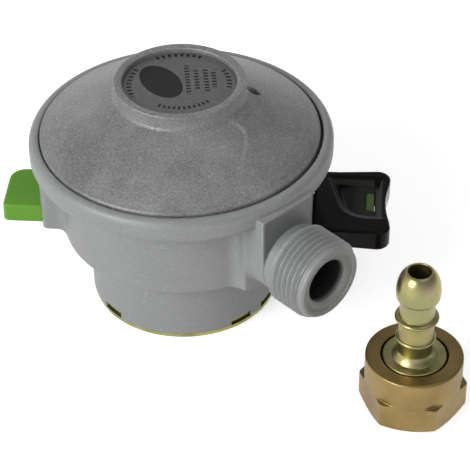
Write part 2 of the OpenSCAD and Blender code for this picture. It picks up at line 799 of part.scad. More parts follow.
// Upright ear with the sloping slot that moves the trunnion pin
module ear() {
    slope = atan(spigot_stroke / travel);
    reach = travel / cos(slope);
    slot_r = trunnion_r + 0.08;
    rotate([90, 0, 0]) linear_extrude(ear_t) difference() {
        translate([-travel - 3.2, plate_top - 0.2])
            square([travel + 6.4, ear_top - plate_top + 0.2]);
        translate([0, trunnion_z]) circle(r = slot_r, $fn = small);
        translate([-travel, trunnion_z - spigot_stroke]) circle(r = slot_r, $fn = small);
        translate([0, trunnion_z]) rotate(180 + slope) translate([0, -slot_r])
            square([reach, 2 * slot_r]);
    }
}

module lock_plate() {
    color("#c4ad52") {
        translate([0, 0, plate_z]) linear_extrude(plate_t) plate_plan();
        translate([0, -ear_y, 0]) ear();
        translate([0, ear_y + ear_t, 0]) ear();
    }
}

module plate_pins() {
    color("#c3c6c9") for (x = [left_pin_x, right_pin_x], s = [-1, 1])
        translate([x, s * pin_y, arm_z + 0.2]) cylinder(r = pin_r, h = arm_t - 0.4, $fn = small);
}

// Holes and slot by which an arm holds the lock plate's end
module arm_slot(x, x0, x1) {
    translate([x0, -plate_w / 2, plate_z]) cube([x1 - x0, plate_w, plate_t]);
    for (s = [-1, 1]) translate([x, s * pin_y, arm_z + 0.2])
        cylinder(r = pin_r, h = arm_t - 0.4, $fn = small);
}

module release_tongue() {
    end = -housing_left - tongue_out;
    half = arm_w / 2;
    color("#6aa52f") difference() {
        translate([0, 0, arm_z]) linear_extrude(arm_t) polygon(concat(
            [[tongue_end, -half], [tongue_end, half]],
            arc([end + tongue_corner, half - tongue_corner], tongue_corner, 90, 180, 8),
            arc([end + tongue_near_corner, -half + tongue_near_corner], tongue_near_corner,
                180, 270, 4)));
        arm_slot(left_pin_x, -plate_r - 0.2, tongue_end + cut);
    }
}

module slide_arm() {
    step_x = knob_x - 0.2;
    color("#6aa52f") difference() {
        union() {
            bar(arm_start, step_x, arm_w, arm_z, arm_top);
            bar(step_x - cut, lug_x + lug_w, stub_w, stub_z, stub_z + stub_t);
            bar(lug_x, lug_x + lug_w, lug_l, stub_z, knob_top + seat);
        }
        arm_slot(right_pin_x, arm_start - cut, plate_r - travel + 0.2);
        // Groove in which the detent ball runs
        bar(ball_x - travel - ball_groove_end, ball_x + ball_groove_end, ball_groove_w,
            arm_top - ball_groove_h, arm_top + cut);
    }
}

// Outline of the knob, seen from above
module knob_plan(inset = 0) {
    end = knob_x + knob_len;
    w = knob_w_out - inset;
    r = knob_corner - inset / 2;
    polygon(concat(
        [[knob_x + inset, knob_w_in - inset], [knob_x + inset, -knob_w_in + inset],
         [knob_x + knob_waist, -knob_w_in + inset]],
        arc([end - inset - r - 0.2, -w + r], r, -90, -5, 6),
        [for (i = [-4:4]) [end - inset - knob_notch * cos(i * 90 / 5), i * (w - r) / 5]],
        arc([end - inset - r - 0.2, w - r], r, 5, 90, 6),
        [[knob_x + knob_waist, knob_w_in - inset]]));
}

module knob() {
    color("#151516") difference() {
        union() {
            translate([0, 0, knob_z]) linear_extrude(knob_t) knob_plan();
            translate([0, 0, knob_z + knob_t - cut]) linear_extrude(knob_rim + cut)
                difference() {
                    knob_plan();
                    translate([1.5, 0]) knob_plan(knob_rim_w);
                    translate([knob_x - cut, -knob_w_in - cut])
                        square([5, 2 * (knob_w_in + cut)]);
                }
        }
        // Pocket for the slide's end, and the window for its lug
        bar(knob_x - cut, lug_x + lug_w + seat, stub_w + 2 * seat, stub_z - seat,
            stub_z + stub_t + seat);
        bar(lug_x - seat, lug_x + lug_w + seat, lug_l + 2 * seat, stub_z, knob_top + cut);
    }
}

module detent_ball() {
    color("#d5d7d9") translate([ball_x, 0, ball_z]) sphere(r = ball_r, $fn = small);
}

module detent_spring() {
    wire_r = 0.2;
    z0 = ball_z + ball_r + wire_r + fit;
    color("#b8bcc0") translate([ball_x, 0, z0])
        coil(ball_r - 0.5, detent_top - z0 - wire_r - fit, 2, wire_r);
}

// Places its children on the nut's axis
module at_nut() {
    translate([nut_x, -nut_y, 0]) children();
}

module union_nut() {
    corner_r = nut_af / 2 / cos(30);
    color("#b08d3f") at_nut() difference() {
        union() {
            intersection() {
                rotate([0, 0, nut_turn]) cylinder(r = corner_r, h = hex_h, $fn = 6);
                rotate_extrude($fn = fine) polygon([[0, 0], [nut_af / 2 - 0.2, 0],
                    [corner_r, 1.4], [corner_r, hex_h - 1.2], [nut_af / 2 - 0.1, hex_h],
                    [0, hex_h]]);
            }
            rotate_extrude($fn = fine) polygon(concat([[0, hex_h - cut],
                [nut_af / 2 - 0.1, hex_h - cut], [nut_collar_r - 0.2, hex_h + 0.2],
                [nut_collar_r, hex_h + 0.8]],
                arc([nut_collar_r - 1.4, nut_h - 1.4], 1.4, 0, 90, 4), [[0, nut_h]]));
        }
        translate([0, 0, -cut]) cylinder(r = nut_thread_r, h = nut_floor, $fn = fine);
        translate([0, 0, relief_z]) cylinder(r = relief_r, h = nut_floor - relief_z, $fn = fine);
        cylinder(r = nut_hole_r, h = nut_h + cut, $fn = fine);
        translate([0, 0, -0.01]) cylinder(r1 = thread_d / 2 + 0.2, r2 = nut_thread_r, h = 1,
            $fn = fine);
    }
}

// Outline of one ridge of the hose tail, as rise over the boss, stand-out, slope and flat
function ridge(r) = let (z = boss_top + r[0], top = z + r[2] + r[3])
    [[shank_r, z], [shank_r + r[1], z + r[2]], [shank_r + r[1], top], [shank_r, top + r[2]]];

module hose_nozzle() {
    s = shank_r;
    color("#a9a468") at_nut() difference() {
        rotate_extrude($fn = fine) polygon(concat([[0, nozzle_z],
            [nozzle_flange_r, nozzle_z], [nozzle_flange_r, nozzle_z + nozzle_flange_t],
            [boss_r, nozzle_z + nozzle_flange_t], [boss_r, boss_top - 0.3],
            [boss_r - 0.3, boss_top]],
            [for (p = nozzle_foot) [s + p[0], boss_top + p[1]]],
            ridge(ridge_low), ridge(ridge_high),
            [[s, barb_z], [s + 0.9, barb_z + 0.7], [barb_r, barb_z + barb_rise],
             [barb_r, barb_z + barb_rise + barb_flat], [s + 0.2, nozzle_top - 0.8],
             [s - 0.4, nozzle_top], [0, nozzle_top]]));
        translate([0, 0, -cut]) cylinder(r = nozzle_bore_r, h = nozzle_top + 2 * cut,
            $fn = fine);
    }
}

module flat_seal() {
    color("#26262a") at_nut() translate([0, 0, nozzle_z - fit - seal_t])
        tube(relief_r - fit, nozzle_bore_r + 1, seal_t);
}

lower_body();
guide_ring();
bonnet();
cover_disc();
adjusting_screw();
main_spring();
diaphragm();
diaphragm_plate();
diaphragm_stem();
stem_nut();
valve_lever();
valve_pad();
lever_pin();
gas_jet();
chamber_floor();
floor_seal();
floor_ring();
spigot();
spigot_seal();
spigot_o_ring();
trunnion_pins();
inlet_filter();
lock_plate();
plate_pins();
release_tongue();
slide_arm();
knob();
detent_ball();
detent_spring();
union_nut();
hose_nozzle();
flat_seal();
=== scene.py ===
"""Looks of a clip-on gas regulator and of the loose union nut and hose nozzle beside it.

Sizes are in millimetres until a mesh is made, where MM turns them into metres.
The origin and the axes are the frame's: +X runs along the slide, +Z is up.
"""

import json
import math

import bpy
import numpy as np
from mathutils import Matrix, Vector


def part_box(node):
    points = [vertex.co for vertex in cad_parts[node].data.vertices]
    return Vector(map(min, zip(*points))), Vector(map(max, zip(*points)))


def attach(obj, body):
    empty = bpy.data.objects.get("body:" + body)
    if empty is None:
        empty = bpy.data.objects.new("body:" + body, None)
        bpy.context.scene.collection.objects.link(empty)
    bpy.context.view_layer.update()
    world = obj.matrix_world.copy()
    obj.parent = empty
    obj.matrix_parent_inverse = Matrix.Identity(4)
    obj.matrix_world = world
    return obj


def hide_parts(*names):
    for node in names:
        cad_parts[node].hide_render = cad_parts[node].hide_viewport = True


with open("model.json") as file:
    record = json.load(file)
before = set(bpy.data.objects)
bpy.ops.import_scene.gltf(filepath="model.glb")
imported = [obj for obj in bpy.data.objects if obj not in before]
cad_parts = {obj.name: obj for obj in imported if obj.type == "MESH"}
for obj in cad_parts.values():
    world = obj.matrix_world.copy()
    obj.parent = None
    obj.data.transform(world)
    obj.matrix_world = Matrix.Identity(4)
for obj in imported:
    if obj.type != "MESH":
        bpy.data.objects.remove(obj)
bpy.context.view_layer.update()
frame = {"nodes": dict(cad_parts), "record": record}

MM = 0.001


# ---------------------------------------------------------------- sizes, from the frame

def corners(node):
    """Lowest and highest corner of a CAD node, in millimetres."""
    low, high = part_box(node)
    return low / MM, high / MM


BODY_LOW, BODY_HIGH = corners("lower_body")
BONNET_LOW, BONNET_HIGH = corners("bonnet")
DISC_LOW, _ = corners("cover_disc")
TONGUE_LOW, TONGUE_HIGH = corners("release_tongue")
KNOB_LOW, KNOB_HIGH = corners("knob")
ARM_LOW, ARM_HIGH = corners("slide_arm")
NUT_LOW, NUT_HIGH = corners("union_nut")
NOZZLE_LOW, NOZZLE_HIGH = corners("hose_nozzle")

# Bowl, collar and rim
COLLAR_R = 23.2
COLLAR_H = 19.2
COLLAR_WALL = 3.0
BOWL_R = 29.4
BOWL_WALL = 2.0
RIM_R = 36.48
RIM_Z = 40.3
RIM_TOP = BODY_HIGH.z
RIM_ROUND = 1.2
LIP_R = 34.0
SEAT_R = 31.5
CHAMBER_TOP = 34.2
CHAMBER_BASE = 21.2
GUIDE_BASE = 15.2
FLARE_R = 4.6
GUIDE_R = 13.75
NOTCH_ANGLES = (-136, -48, -23)
NOTCH_W = 6.0
NOTCH_TOP = 2.7
NOTCH_IN_R = 17

# Slide housing, and the tunnel through it
HOUSING_LEFT = -34.0
HOUSING_RIGHT = 31.9
HOUSING_W = 18.0
HOUSING_Z = 21.0
TUNNEL_W = 16.0
TUNNEL_Z = (21.8, 27.3)

# Outlet
OUTLET_ANGLE = math.radians(43)
OUTLET_Z = 28.8
OUTLET_L = 50.7
BLOCK_L = 37.6
BLOCK_W = 8.7
BLOCK_TOP = 43.1
BLOCK_CORNER = 0.5
CAST_HIGH = (38.5, 36.5, RIM_TOP)
FOOT_R = 32.3
NECK_R = 8.5
THREAD_R = 10.0
THREAD_L = 10.1
THREAD_PITCH = 1.5
THREAD_DEPTH = 0.85
LAND_L = 1.4
BORE_R = 5.45
BORE_START = 36.0
INNER_BORE_R = 4.05
INNER_BORE_START = 30.8
MOUTH_R = 6.85
MOUTH_DEPTH = 1.2

# Bonnet
TOP_R = 15.6
TOP_Z = BONNET_HIGH.z
CONE_Z = 56.8
CONE_FOOT_Z = RIM_TOP + 0.5
BONNET_R = 33.8
BONNET_EDGE_R = 0.8
RECESS_R = 13.5
BONNET_WALL = 2.2
SCREW_BORE_R = 11.8
SCREW_Z = 53.4
CONE_FOOT_R = BONNET_R - BONNET_EDGE_R * (1 - math.cos(math.radians(60)))
CONE_SLOPE = (CONE_Z - CONE_FOOT_Z) / (CONE_FOOT_R - TOP_R)
SKIRT_R = 30.5
HOLLOW_TOP_R = 29.1
PANEL_CORNER = (16.4, -10.6)
PANEL_DEPTH = 0.5
VENT_START = 15.5
VENT_L = 3.4
VENT_Y = 2.95
VENT_DEPTH = 2.0

# Knob, with half its widths at the end and at the housing
KNOB_END = KNOB_HIGH.x + 0.2
KNOB_NEAR = 32.0
KNOB_HALF_END = 12.5
KNOB_HALF_NEAR = 11.8
KNOB_CORNER = 3.2
KNOB_NOTCH = 1.35
HOLLOW_FAR = 9.6
HOLLOW_NEAR = 6.4
HOLLOW_R = 7.4
SHOULDER_W = 15.4
SHOULDER_Z = 22.1

# Slide's arm, its lug and the lock plate in its slot
LUG_X = 45.8
LUG_Y = 1.4
LUG_HALF_W = 1
LUG_HALF_L = 3.35
LUG_PLAY = 0.1
STUB_HALF_W = 5
PLATE_W = 35
GROOVE_X = (19.5, 30.3)
GROOVE_HALF_W = 0.85

# Nut and nozzle
NUT_X = (NUT_LOW.x + NUT_HIGH.x) / 2
NUT_Y = (NUT_LOW.y + NUT_HIGH.y) / 2
NUT_TURN = math.radians(54)
NUT_AF = 22.0
HEX_H = 7.3
NUT_H = NUT_HIGH.z
NUT_COLLAR_R = 11.4
NUT_HOLE_R = 7.85
NUT_BORE_R = 9.25
NUT_MOUTH_R = 10.6
NUT_THREAD_END = 7.1
NUT_BORE_END = 12
NUT_HOLE_Z = 8
SHANK_R = 4.05
BARB_R = 5.13
NOZZLE_BORE_R = 2.65
FLANGE_R = 9.05
FLANGE_T = 2.6
BOSS_R = 7.43
NOSE_R = 1.9
NOSE_RISE = 19.35
NOSE_TURN = 70

# Camera: its place, its angles in radians and its focal length in pixels
CAMERA_PLACE = (41.508, -367.42, 310.30)
CAMERA_TURN = math.radians(4.5)
CAMERA_PITCH = 0.6769
CAMERA_ROLL = 0.0124
FOCAL_PX = 1900
PICTURE_PX = 470
SENSOR_W = 36.0

# Marks and painted light in the body's, slide's and knob's colours, in metres: a darker rim top, painted
# shade in the bore, on the block's face and on the lug, and painted sheen on the knob's hollow wall
RIM_DARK_Z = (0.0446, 0.0453)
BORE_SHADE_U = (0.0499, 0.0480)
FACE_SHADE_HALF = 0.00015
LUG_SHADE_X = (0.02, 0.03)
WALL_FOOT_Z = (0.0247, 0.0251)
WALL_TOP_Z = (0.0261, 0.0257)
WALL_Y, WALL_HALF_Y = 0.0015, 0.0078
WALL_X, WALL_HALF_X = 0.0405, 0.0062

# Print on the cover disc, in metres: an oval, and dashes in arcs and rows
OVAL_X, OVAL_Y = -0.00446, 0.00072
OVAL_TURN = -57.2
OVAL_HALF_L, OVAL_HALF_W = 0.0073, 0.0044
ARC_INK_HALF = 0.0006
ROW_INK_HALF = 0.00055
ARC_DASHES = 52.0
ROW_DASHES = 5200.0
ROWS_TURN = 8.6
# Middle and half angle in degrees, and radius in millimetres
DASH_ARCS = ((181, 29, 11.9), (98, 28, 12.2), (16, 20, 11.7), (-80, 38, 9.8))
# Place, start and end in millimetres
DASH_ROWS = ((1.96, 7.6, -4.4), (4.12, 5.4, -2.4), (6.34, 6.0, -3.8), (8.2, 4.8, -2.1))


# ---------------------------------------------------------------- outlines and distances

def arc(centre, radius, start, end, steps):
    """Points on an arc, from the start angle to the end angle in degrees."""
    turns = [math.radians(start + (end - start) * i / steps) for i in range(steps + 1)]
    return [(centre[0] + radius * math.cos(a), centre[1] + radius * math.sin(a)) for a in turns]


def softened(points, radius, steps=3):
    """The outline with each corner rounded by up to the radius."""
    made = []
    count = len(points)
    for i in range(count):
        before, at, after = (np.array(points[(i + k) % count], float) for k in (-1, 0, 1))
        ends = []
        for other in (before, after):
            side = other - at
            length = np.linalg.norm(side)
            ends.append(at + side * min(radius, 0.4 * length) / max(length, 1e-9))
        for k in range(steps + 1):
            t = k / steps
            made.append(tuple((1 - t) ** 2 * ends[0] + 2 * t * (1 - t) * at + t * t * ends[1]))
    return made


def outline_distance(x, y, points):
    """Distance to a closed outline in its own plane, negative inside."""
    nearest = np.full(x.shape, np.inf)
    inside = np.zeros(x.shape, bool)
    for (ax, ay), (bx, by) in zip(points, list(points[1:]) + [points[0]]):
        ex, ey = bx - ax, by - ay
        wx, wy = x - ax, y - ay
        t = np.clip((wx * ex + wy * ey) / max(ex * ex + ey * ey, 1e-9), 0, 1)
        nearest = np.minimum(nearest, (wx - t * ex) ** 2 + (wy - t * ey) ** 2)
        slope = ex / ey if ey else 0
        inside ^= ((ay > y) != (by > y)) & (x < slope * (y - ay) + ax)
    return np.where(inside, -1, 1) * np.sqrt(nearest)


def drawn(points, reach=6.0, step=0.1):
    outline = np.array(points, float)
    low = outline.min(0) - reach
    size = np.ceil((outline.max(0) + reach - low) / step).astype(int) + 1
    axes = [low[i] + step * np.arange(size[i]) for i in (0, 1)]
    table = outline_distance(*np.meshgrid(*axes, indexing="ij"), points)

    def distance(x, y):
        u = np.clip((x - low[0]) / step, 0, size[0] - 1.001)
        v = np.clip((y - low[1]) / step, 0, size[1] - 1.001)
        i, j = u.astype(int), v.astype(int)
        u, v = u - i, v - j
        near = table[i, j] * (1 - v) + table[i, j + 1] * v
        far = table[i + 1, j] * (1 - v) + table[i + 1, j + 1] * v
        return near * (1 - u) + far * u

    return distance


def extruded(flat, height, low, high, soft):
    """Distance to an outline pulled from low to high, with soft top and bottom edges."""
    up = np.abs(height - (low + high) / 2) - (high - low) / 2 + soft
    out = flat + soft
    outside = np.hypot(np.maximum(out, 0), np.maximum(up, 0))
    return outside + np.minimum(np.maximum(out, up), 0) - soft


def box_distance(x, y, low, high, soft):
    """Distance to a rectangle with rounded corners."""
    u = np.abs(x - (low[0] + high[0]) / 2) - (high[0] - low[0]) / 2 + soft
    v = np.abs(y - (low[1] + high[1]) / 2) - (high[1] - low[1]) / 2 + soft
    return np.hypot(np.maximum(u, 0), np.maximum(v, 0)) + np.minimum(np.maximum(u, v), 0) - soft


def joined(a, b, fillet):
    """Two shapes in one, with a fillet of about this size where they meet."""
    share = np.clip(0.5 + 0.5 * (b - a) / fillet, 0, 1)
    return b * (1 - share) + a * share - fillet * share * (1 - share)


def cut(a, b, soft):
    """Shape a without shape b, with the new edge softened."""
    return -joined(-a, b, soft)


def step_up(x, start, end):
    """0 before start, 1 after end, and a smooth rise between them."""
    t = np.clip((x - start) / (end - start), 0, 1)
    return t * t * (3 - 2 * t)


# ---------------------------------------------------------------- meshes

def new_piece(name, points, faces, body, slot, nodes):
    """A mesh object in the part's frame that rides on a body and stands for CAD nodes."""
    mesh = bpy.data.meshes.new(name)
    mesh.from_pydata([tuple(p * MM) for p in np.asarray(points, float)], [], faces)
    mesh.validate()
    mesh.shade_smooth()
    piece = bpy.data.objects.new(name, mesh)
    bpy.context.scene.collection.objects.link(piece)
    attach(piece, body)
    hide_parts(*nodes)
    mesh.materials.append(MATERIALS[slot])
    return piece


def corner_part(values, corner):
    """The grid's values at one corner of every cell."""
    return values[tuple(slice(o, n - 1 + o) for o, n in zip(corner, values.shape))]


def settle(field, points, step, rounds=4, probe=0.02):
    """Points slid along the field's slope until they lie on its surface."""
    for _ in range(rounds):
        slope = np.empty_like(points)
        for axis in range(3):
            shift = np.zeros(3)
            shift[axis] = probe
            slope[:, axis] = (field(*(points + shift).T) - field(*(points - shift).T)) / (2 * probe)
        size = np.maximum((slope ** 2).sum(1), 0.05)
        move = slope * (field(*points.T) / size)[:, None]
        points = points - np.clip(move, -0.5 * step, 0.5 * step)
    return points


def skin(field, low, high, step):
    """Points and four-sided faces of the surface on which the field is zero."""
    axes = [np.arange(a, b + step, step) for a, b in zip(low, high)]
    value = field(*np.meshgrid(*axes, indexing="ij"))
    inside = value < 0
    cell_corners = [(i, j, k) for i in (0, 1) for j in (0, 1) for k in (0, 1)]
    count = sum(corner_part(inside, c).astype(np.int8) for c in cell_corners)
    mixed = (count > 0) & (count < 8)
    cells = np.argwhere(mixed)
    number = np.full(mixed.shape, -1)
    number[mixed] = np.arange(len(cells))
    total = np.zeros((len(cells), 3))
    hits = np.zeros(len(cells))
    for corner in cell_corners:
        for axis in range(3):
            if corner[axis]:
                continue
            first = cells + corner
            second = first.copy()
            second[:, axis] += 1
            a, b = value[tuple(first.T)], value[tuple(second.T)]
            crossed = (a < 0) != (b < 0)
            point = first.astype(float)
            point[crossed, axis] += (a / np.where(crossed, a - b, 1))[crossed]
            total[crossed] += point[crossed]
            hits[crossed] += 1
    points = settle(field, total / hits[:, None] * step + np.array(low), step)
    return points, skin_faces(inside, number)


def skin_faces(inside, number):
    """One face for each grid edge that the surface crosses, turned outwards."""
    faces = []
    for axis in range(3):
        first = np.moveaxis(inside, axis, 0)
        crossed = first[:-1] != first[1:]
        crossed[:, 0] = crossed[:, -1] = False
        crossed[:, :, 0] = crossed[:, :, -1] = False
        at = np.argwhere(crossed)
        outward = first[:-1][crossed]
        cells = np.moveaxis(number, axis, 0)
        # np.moveaxis keeps the other two axes in order, which mirrors them for the middle axis
        if axis == 1:
            outward = ~outward
        quad = [cells[at[:, 0], at[:, 1] - i, at[:, 2] - j]
                for i, j in ((1, 1), (0, 1), (0, 0), (1, 0))]
        quad = np.stack(quad, 1)
        quad[~outward] = quad[~outward][:, ::-1]
        faces.append(quad)
    return np.concatenate(faces).tolist()


def turned(outline, sides, wobble=None):
    """Points and faces of a closed outline of (radius, height), turned round Z.

    The wobble, if any, gives each point's new radius and height.
    """
    rings = np.array(outline, float)
    turns = 2 * np.pi * np.arange(sides) / sides
    radius = np.repeat(rings[:, :1], sides, 1)
    height = np.repeat(rings[:, 1:], sides, 1)
    if wobble is not None:
        radius, height = wobble(radius, height, turns[None, :])
    points = np.stack([radius * np.cos(turns), radius * np.sin(turns), height], 2).reshape(-1, 3)
    count = len(rings)
    faces = [(i * sides + j, i * sides + (j + 1) % sides,
              (i + 1) % count * sides + (j + 1) % sides, (i + 1) % count * sides + j)
             for i in range(count) for j in range(sides)]
    return points, faces


def moved(points, place):
    """The points carried to a place by a 4 x 4 matrix in millimetres."""
    matrix = np.array(place)
    return points @ matrix[:3, :3].T + matrix[:3, 3]


# ---------------------------------------------------------------- shapes

def shell_outline():
    """Half section of the bowl, collar and rim, as radius and height."""
    sleeve_r = COLLAR_R - COLLAR_WALL
    base = BODY_LOW.z
    seat_z = RIM_TOP - 3
    deck_r = BOWL_R - BOWL_WALL
    return ([(sleeve_r, base), (COLLAR_R - 0.3, base), (COLLAR_R, base + 0.3),
             (COLLAR_R, COLLAR_H - 0.4)]
            + arc((COLLAR_R + 0.4, COLLAR_H - 0.4), 0.4, 180, 90, 3)
            + arc((BOWL_R - 0.9, COLLAR_H + 0.9), 0.9, -90, 0, 4)
            + arc((BOWL_R + FLARE_R, RIM_Z - FLARE_R), FLARE_R, 180, 90, 12)
            + arc((RIM_R - RIM_ROUND, RIM_Z + RIM_ROUND), RIM_ROUND, -90, 0, 5)
            + arc((RIM_R - 2, RIM_TOP - 2), 2, 0, 78, 8)
            + [(LIP_R + 0.35, RIM_TOP), (LIP_R, RIM_TOP - 0.3), (LIP_R, seat_z),
               (SEAT_R, seat_z), (SEAT_R, seat_z - 2.5), (deck_r, seat_z - 2.5),
               (deck_r, CHAMBER_TOP), (deck_r - 1.6, CHAMBER_TOP),
               (deck_r - 1.6, CHAMBER_BASE), (GUIDE_R, CHAMBER_BASE), (GUIDE_R, GUIDE_BASE),
               (sleeve_r, GUIDE_BASE)])


def block_outline():
    """Plan of the outlet's block: along the outlet's axis, and across it."""
    return ([(0, BLOCK_W), (0, -BLOCK_W)]
            + arc((BLOCK_L - BLOCK_CORNER, -BLOCK_W + BLOCK_CORNER), BLOCK_CORNER, -90, 0, 4)
            + [(BLOCK_L, BLOCK_W)])


def along_outlet(x, y):
    """Distance along the outlet's axis, and across it."""
    c, s = math.cos(OUTLET_ANGLE), math.sin(OUTLET_ANGLE)
    return x * c - y * s, x * s + y * c


shell_flat = drawn(shell_outline())
block_flat = drawn(block_outline())


def side_blocks(x, y, z):
    """Slide housing, outlet block with its foot, and neck."""
    top = RIM_Z + 1
    housing = extruded(box_distance(x, y, (HOUSING_LEFT, -HOUSING_W / 2),
                                    (HOUSING_RIGHT, HOUSING_W / 2), 1.5),
                       z, HOUSING_Z, top, 0.5)
    corner_y = BLOCK_L * math.sin(OUTLET_ANGLE) - BLOCK_W * math.cos(OUTLET_ANGLE)
    corner = extruded(box_distance(x, y, (0, -corner_y), (HOUSING_RIGHT, 0), 0.6),
                      z, HOUSING_Z, top, 0.5)
    u, v = along_outlet(x, y)
    flat = block_flat(u, v)
    upper = np.maximum(extruded(flat, z, OUTLET_Z, BLOCK_TOP, 0.2), x - HOUSING_RIGHT)
    half_round = extruded(np.hypot(v, z - OUTLET_Z) - BLOCK_W, u, 0, BLOCK_L, 0.4)
    foot = np.maximum(extruded(flat, z, COLLAR_H, RIM_Z, 0.3), np.hypot(x, y) - FOOT_R)
    neck = extruded(np.hypot(v, z - OUTLET_Z) - NECK_R, u, 0, OUTLET_L - THREAD_L + 1, 0.3)
    block = np.minimum(np.minimum(upper, half_round), np.minimum(housing, corner))
    return joined(joined(block, foot, 0.8), neck, 0.3)


def notches(x, y, z):
    """Notches in the collar's lower edge."""
    found = np.full(x.shape, 50.0)
    for angle in NOTCH_ANGLES:
        c, s = math.cos(math.radians(angle)), math.sin(math.radians(angle))
        out, across = np.abs(x * c + y * s), -x * s + y * c
        slot = np.maximum(np.abs(across) - NOTCH_W / 2, z - NOTCH_TOP)
        found = np.minimum(found, np.maximum(slot, NOTCH_IN_R - out))
    return found


def casting(x, y, z):
    """The whole cast body, with its tunnel, bores and notches."""
    reach = np.hypot(x, y)
    blocks = side_blocks(x, y, z)
    inner = np.where(z > RIM_TOP - 5.5, SEAT_R, BOWL_R - BOWL_WALL / 4)
    blocks = np.maximum(blocks, inner - reach)
    fillet = 2.2 - 1.9 * step_up(z, 37.0, 39.2)
    solid = joined(shell_flat(reach, z), blocks, fillet)
    tunnel = np.maximum(np.abs(y) - TUNNEL_W / 2,
                        np.abs(z - sum(TUNNEL_Z) / 2) - (TUNNEL_Z[1] - TUNNEL_Z[0]) / 2)
    u, v = along_outlet(x, y)
    off_axis = np.hypot(v, z - OUTLET_Z)
    bore = np.minimum(np.maximum(off_axis - BORE_R, BORE_START - u),
                      np.maximum(off_axis - INNER_BORE_R, INNER_BORE_START - u))
    solid = cut(solid, tunnel, 0.35)
    solid = cut(solid, bore, 0.2)
    return cut(solid, notches(x, y, z), 0.3)


def cone_height(radius):
    """Height of the bonnet's cone at a radius."""
    return CONE_Z - (radius - TOP_R) * CONE_SLOPE


def bonnet_outline():
    """Half section of the bonnet, as radius and height."""
    seat_z, disc_z = BONNET_LOW.z, DISC_LOW.z
    thick = BONNET_WALL / math.cos(math.atan(CONE_SLOPE))
    bore_end = SCREW_Z - 1.4
    inner_r = SCREW_BORE_R + 1.8
    edge_z = CONE_FOOT_Z - BONNET_EDGE_R * math.sin(math.radians(60))
    rows = 56
    cone = [CONE_FOOT_R + (TOP_R + 0.5 - CONE_FOOT_R) * i / rows for i in range(1, rows + 1)]
    return ([(SKIRT_R, seat_z), (BONNET_R, seat_z)]
            + arc((BONNET_R - BONNET_EDGE_R, edge_z), BONNET_EDGE_R, 0, 60, 6)
            + [(r, cone_height(r)) for r in cone]
            + [(TOP_R + 0.15, CONE_Z + 0.08), (TOP_R, CONE_Z + 0.45), (TOP_R, TOP_Z - 0.35)]
            + arc((TOP_R - 0.35, TOP_Z - 0.35), 0.35, 0, 90, 4)
            + arc((RECESS_R + 0.5, TOP_Z - 0.5), 0.5, 90, 180, 4)
            + [(RECESS_R, disc_z), (SCREW_BORE_R, disc_z), (SCREW_BORE_R, bore_end),
               (inner_r, bore_end), (inner_r, cone_height(inner_r) - thick),
               (HOLLOW_TOP_R, cone_height(HOLLOW_TOP_R) - thick)])


def bonnet_relief(radius, height, turn):
    """Lowers the bonnet's front panel, sinks its vent and widens the seam on the right."""
    x, y = radius * np.cos(turn), radius * np.sin(turn)
    on_cone = (height > cone_height(radius) - 1) & (radius > TOP_R + 0.2) & (radius < BONNET_R - 0.3)
    # The panel ends on the right in a line that bows a little, with a round corner
    bow = 0.02 * np.minimum(y + 15.5, 0) ** 2
    panel = box_distance(x + bow, y, (-60, -60), PANEL_CORNER, 2.4)
    low = PANEL_DEPTH * step_up(-panel, -0.4, 0.4) * (1 - step_up(14.4 - x, 0, 12))
    low = low * (1 - step_up(radius, 31.8, 33.2))
    # Vent: pointed at both ends, and widest near the ring
    along = np.clip((x - VENT_START) / VENT_L, 0, 1)
    half = 1.25 * np.sin(math.pi * along ** 0.75) ** 0.9
    vent = np.abs(y - VENT_Y + 0.3 * along) - half
    low = np.maximum(low, VENT_DEPTH * step_up(-vent, -0.1, 0.35) * (along > 0) * (along < 1))
    seam = 0.25 * (1 + np.cos(turn)) * step_up(radius, 31.5, 33.0)
    return radius - seam, height - np.where(on_cone, low, 0)


def knob_outline():
    """Plan of the knob, with its hollow outer edge."""
    near, far, corner = KNOB_NEAR, KNOB_END, KNOB_CORNER
    wide, narrow = KNOB_HALF_END, KNOB_HALF_NEAR
    hollow = [(far - KNOB_NOTCH * math.cos(math.radians(i * 18)), i * (wide - corner) / 5)
              for i in range(-4, 5)]
    return ([(near, narrow), (near, -narrow), (near + 6, -narrow)]
            + arc((far - corner - 0.2, -wide + corner), corner, -90, -5, 8)
            + hollow
            + arc((far - corner - 0.2, wide - corner), corner, 5, 90, 8)
            + [(near + 6, narrow)])


def hollow_outline():
    """Plan of the knob's thumb hollow, with its round near corner."""
    out = KNOB_END - KNOB_NOTCH - 0.6
    return ([(out, HOLLOW_FAR), (KNOB_NEAR + 3.4, HOLLOW_FAR)]
            + arc((KNOB_NEAR + 13.2, 1.0), HOLLOW_R, 190, 270, 14) + [(out, -HOLLOW_NEAR)])


knob_flat = drawn(knob_outline())
hollow_flat = drawn(hollow_outline())


def knob_moulded(x, y, z):
    """The knob with its shoulder, its thumb hollow and the window for the slide's lug."""
    top = KNOB_HIGH.z
    solid = extruded(knob_flat(x, y), z, KNOB_LOW.z, top, 0.6)
    shoulder = extruded(box_distance(x, y, (KNOB_LOW.x, -SHOULDER_W / 2),
                                     (KNOB_NEAR + 2, SHOULDER_W / 2), 0.3),
                        z, SHOULDER_Z, top - 0.1, 0.3)
    solid = np.minimum(solid, shoulder)
    # The hollow's wall slopes in, and its floor rises to the knob's end
    depth = 2.2 - 0.8 * step_up(x, 36, 44)
    floor = top - depth * step_up(-hollow_flat(x, y), -0.3, 2.3)
    solid = cut(solid, (floor - z) * 0.75 + 3 * step_up(hollow_flat(x, y), 0.2, 1.6), 0.25)
    window = np.maximum(np.abs(x - LUG_X) - (LUG_HALF_W + LUG_PLAY),
                        np.abs(y - LUG_Y) - (LUG_HALF_L + LUG_PLAY))
    return cut(solid, window, 0.2)


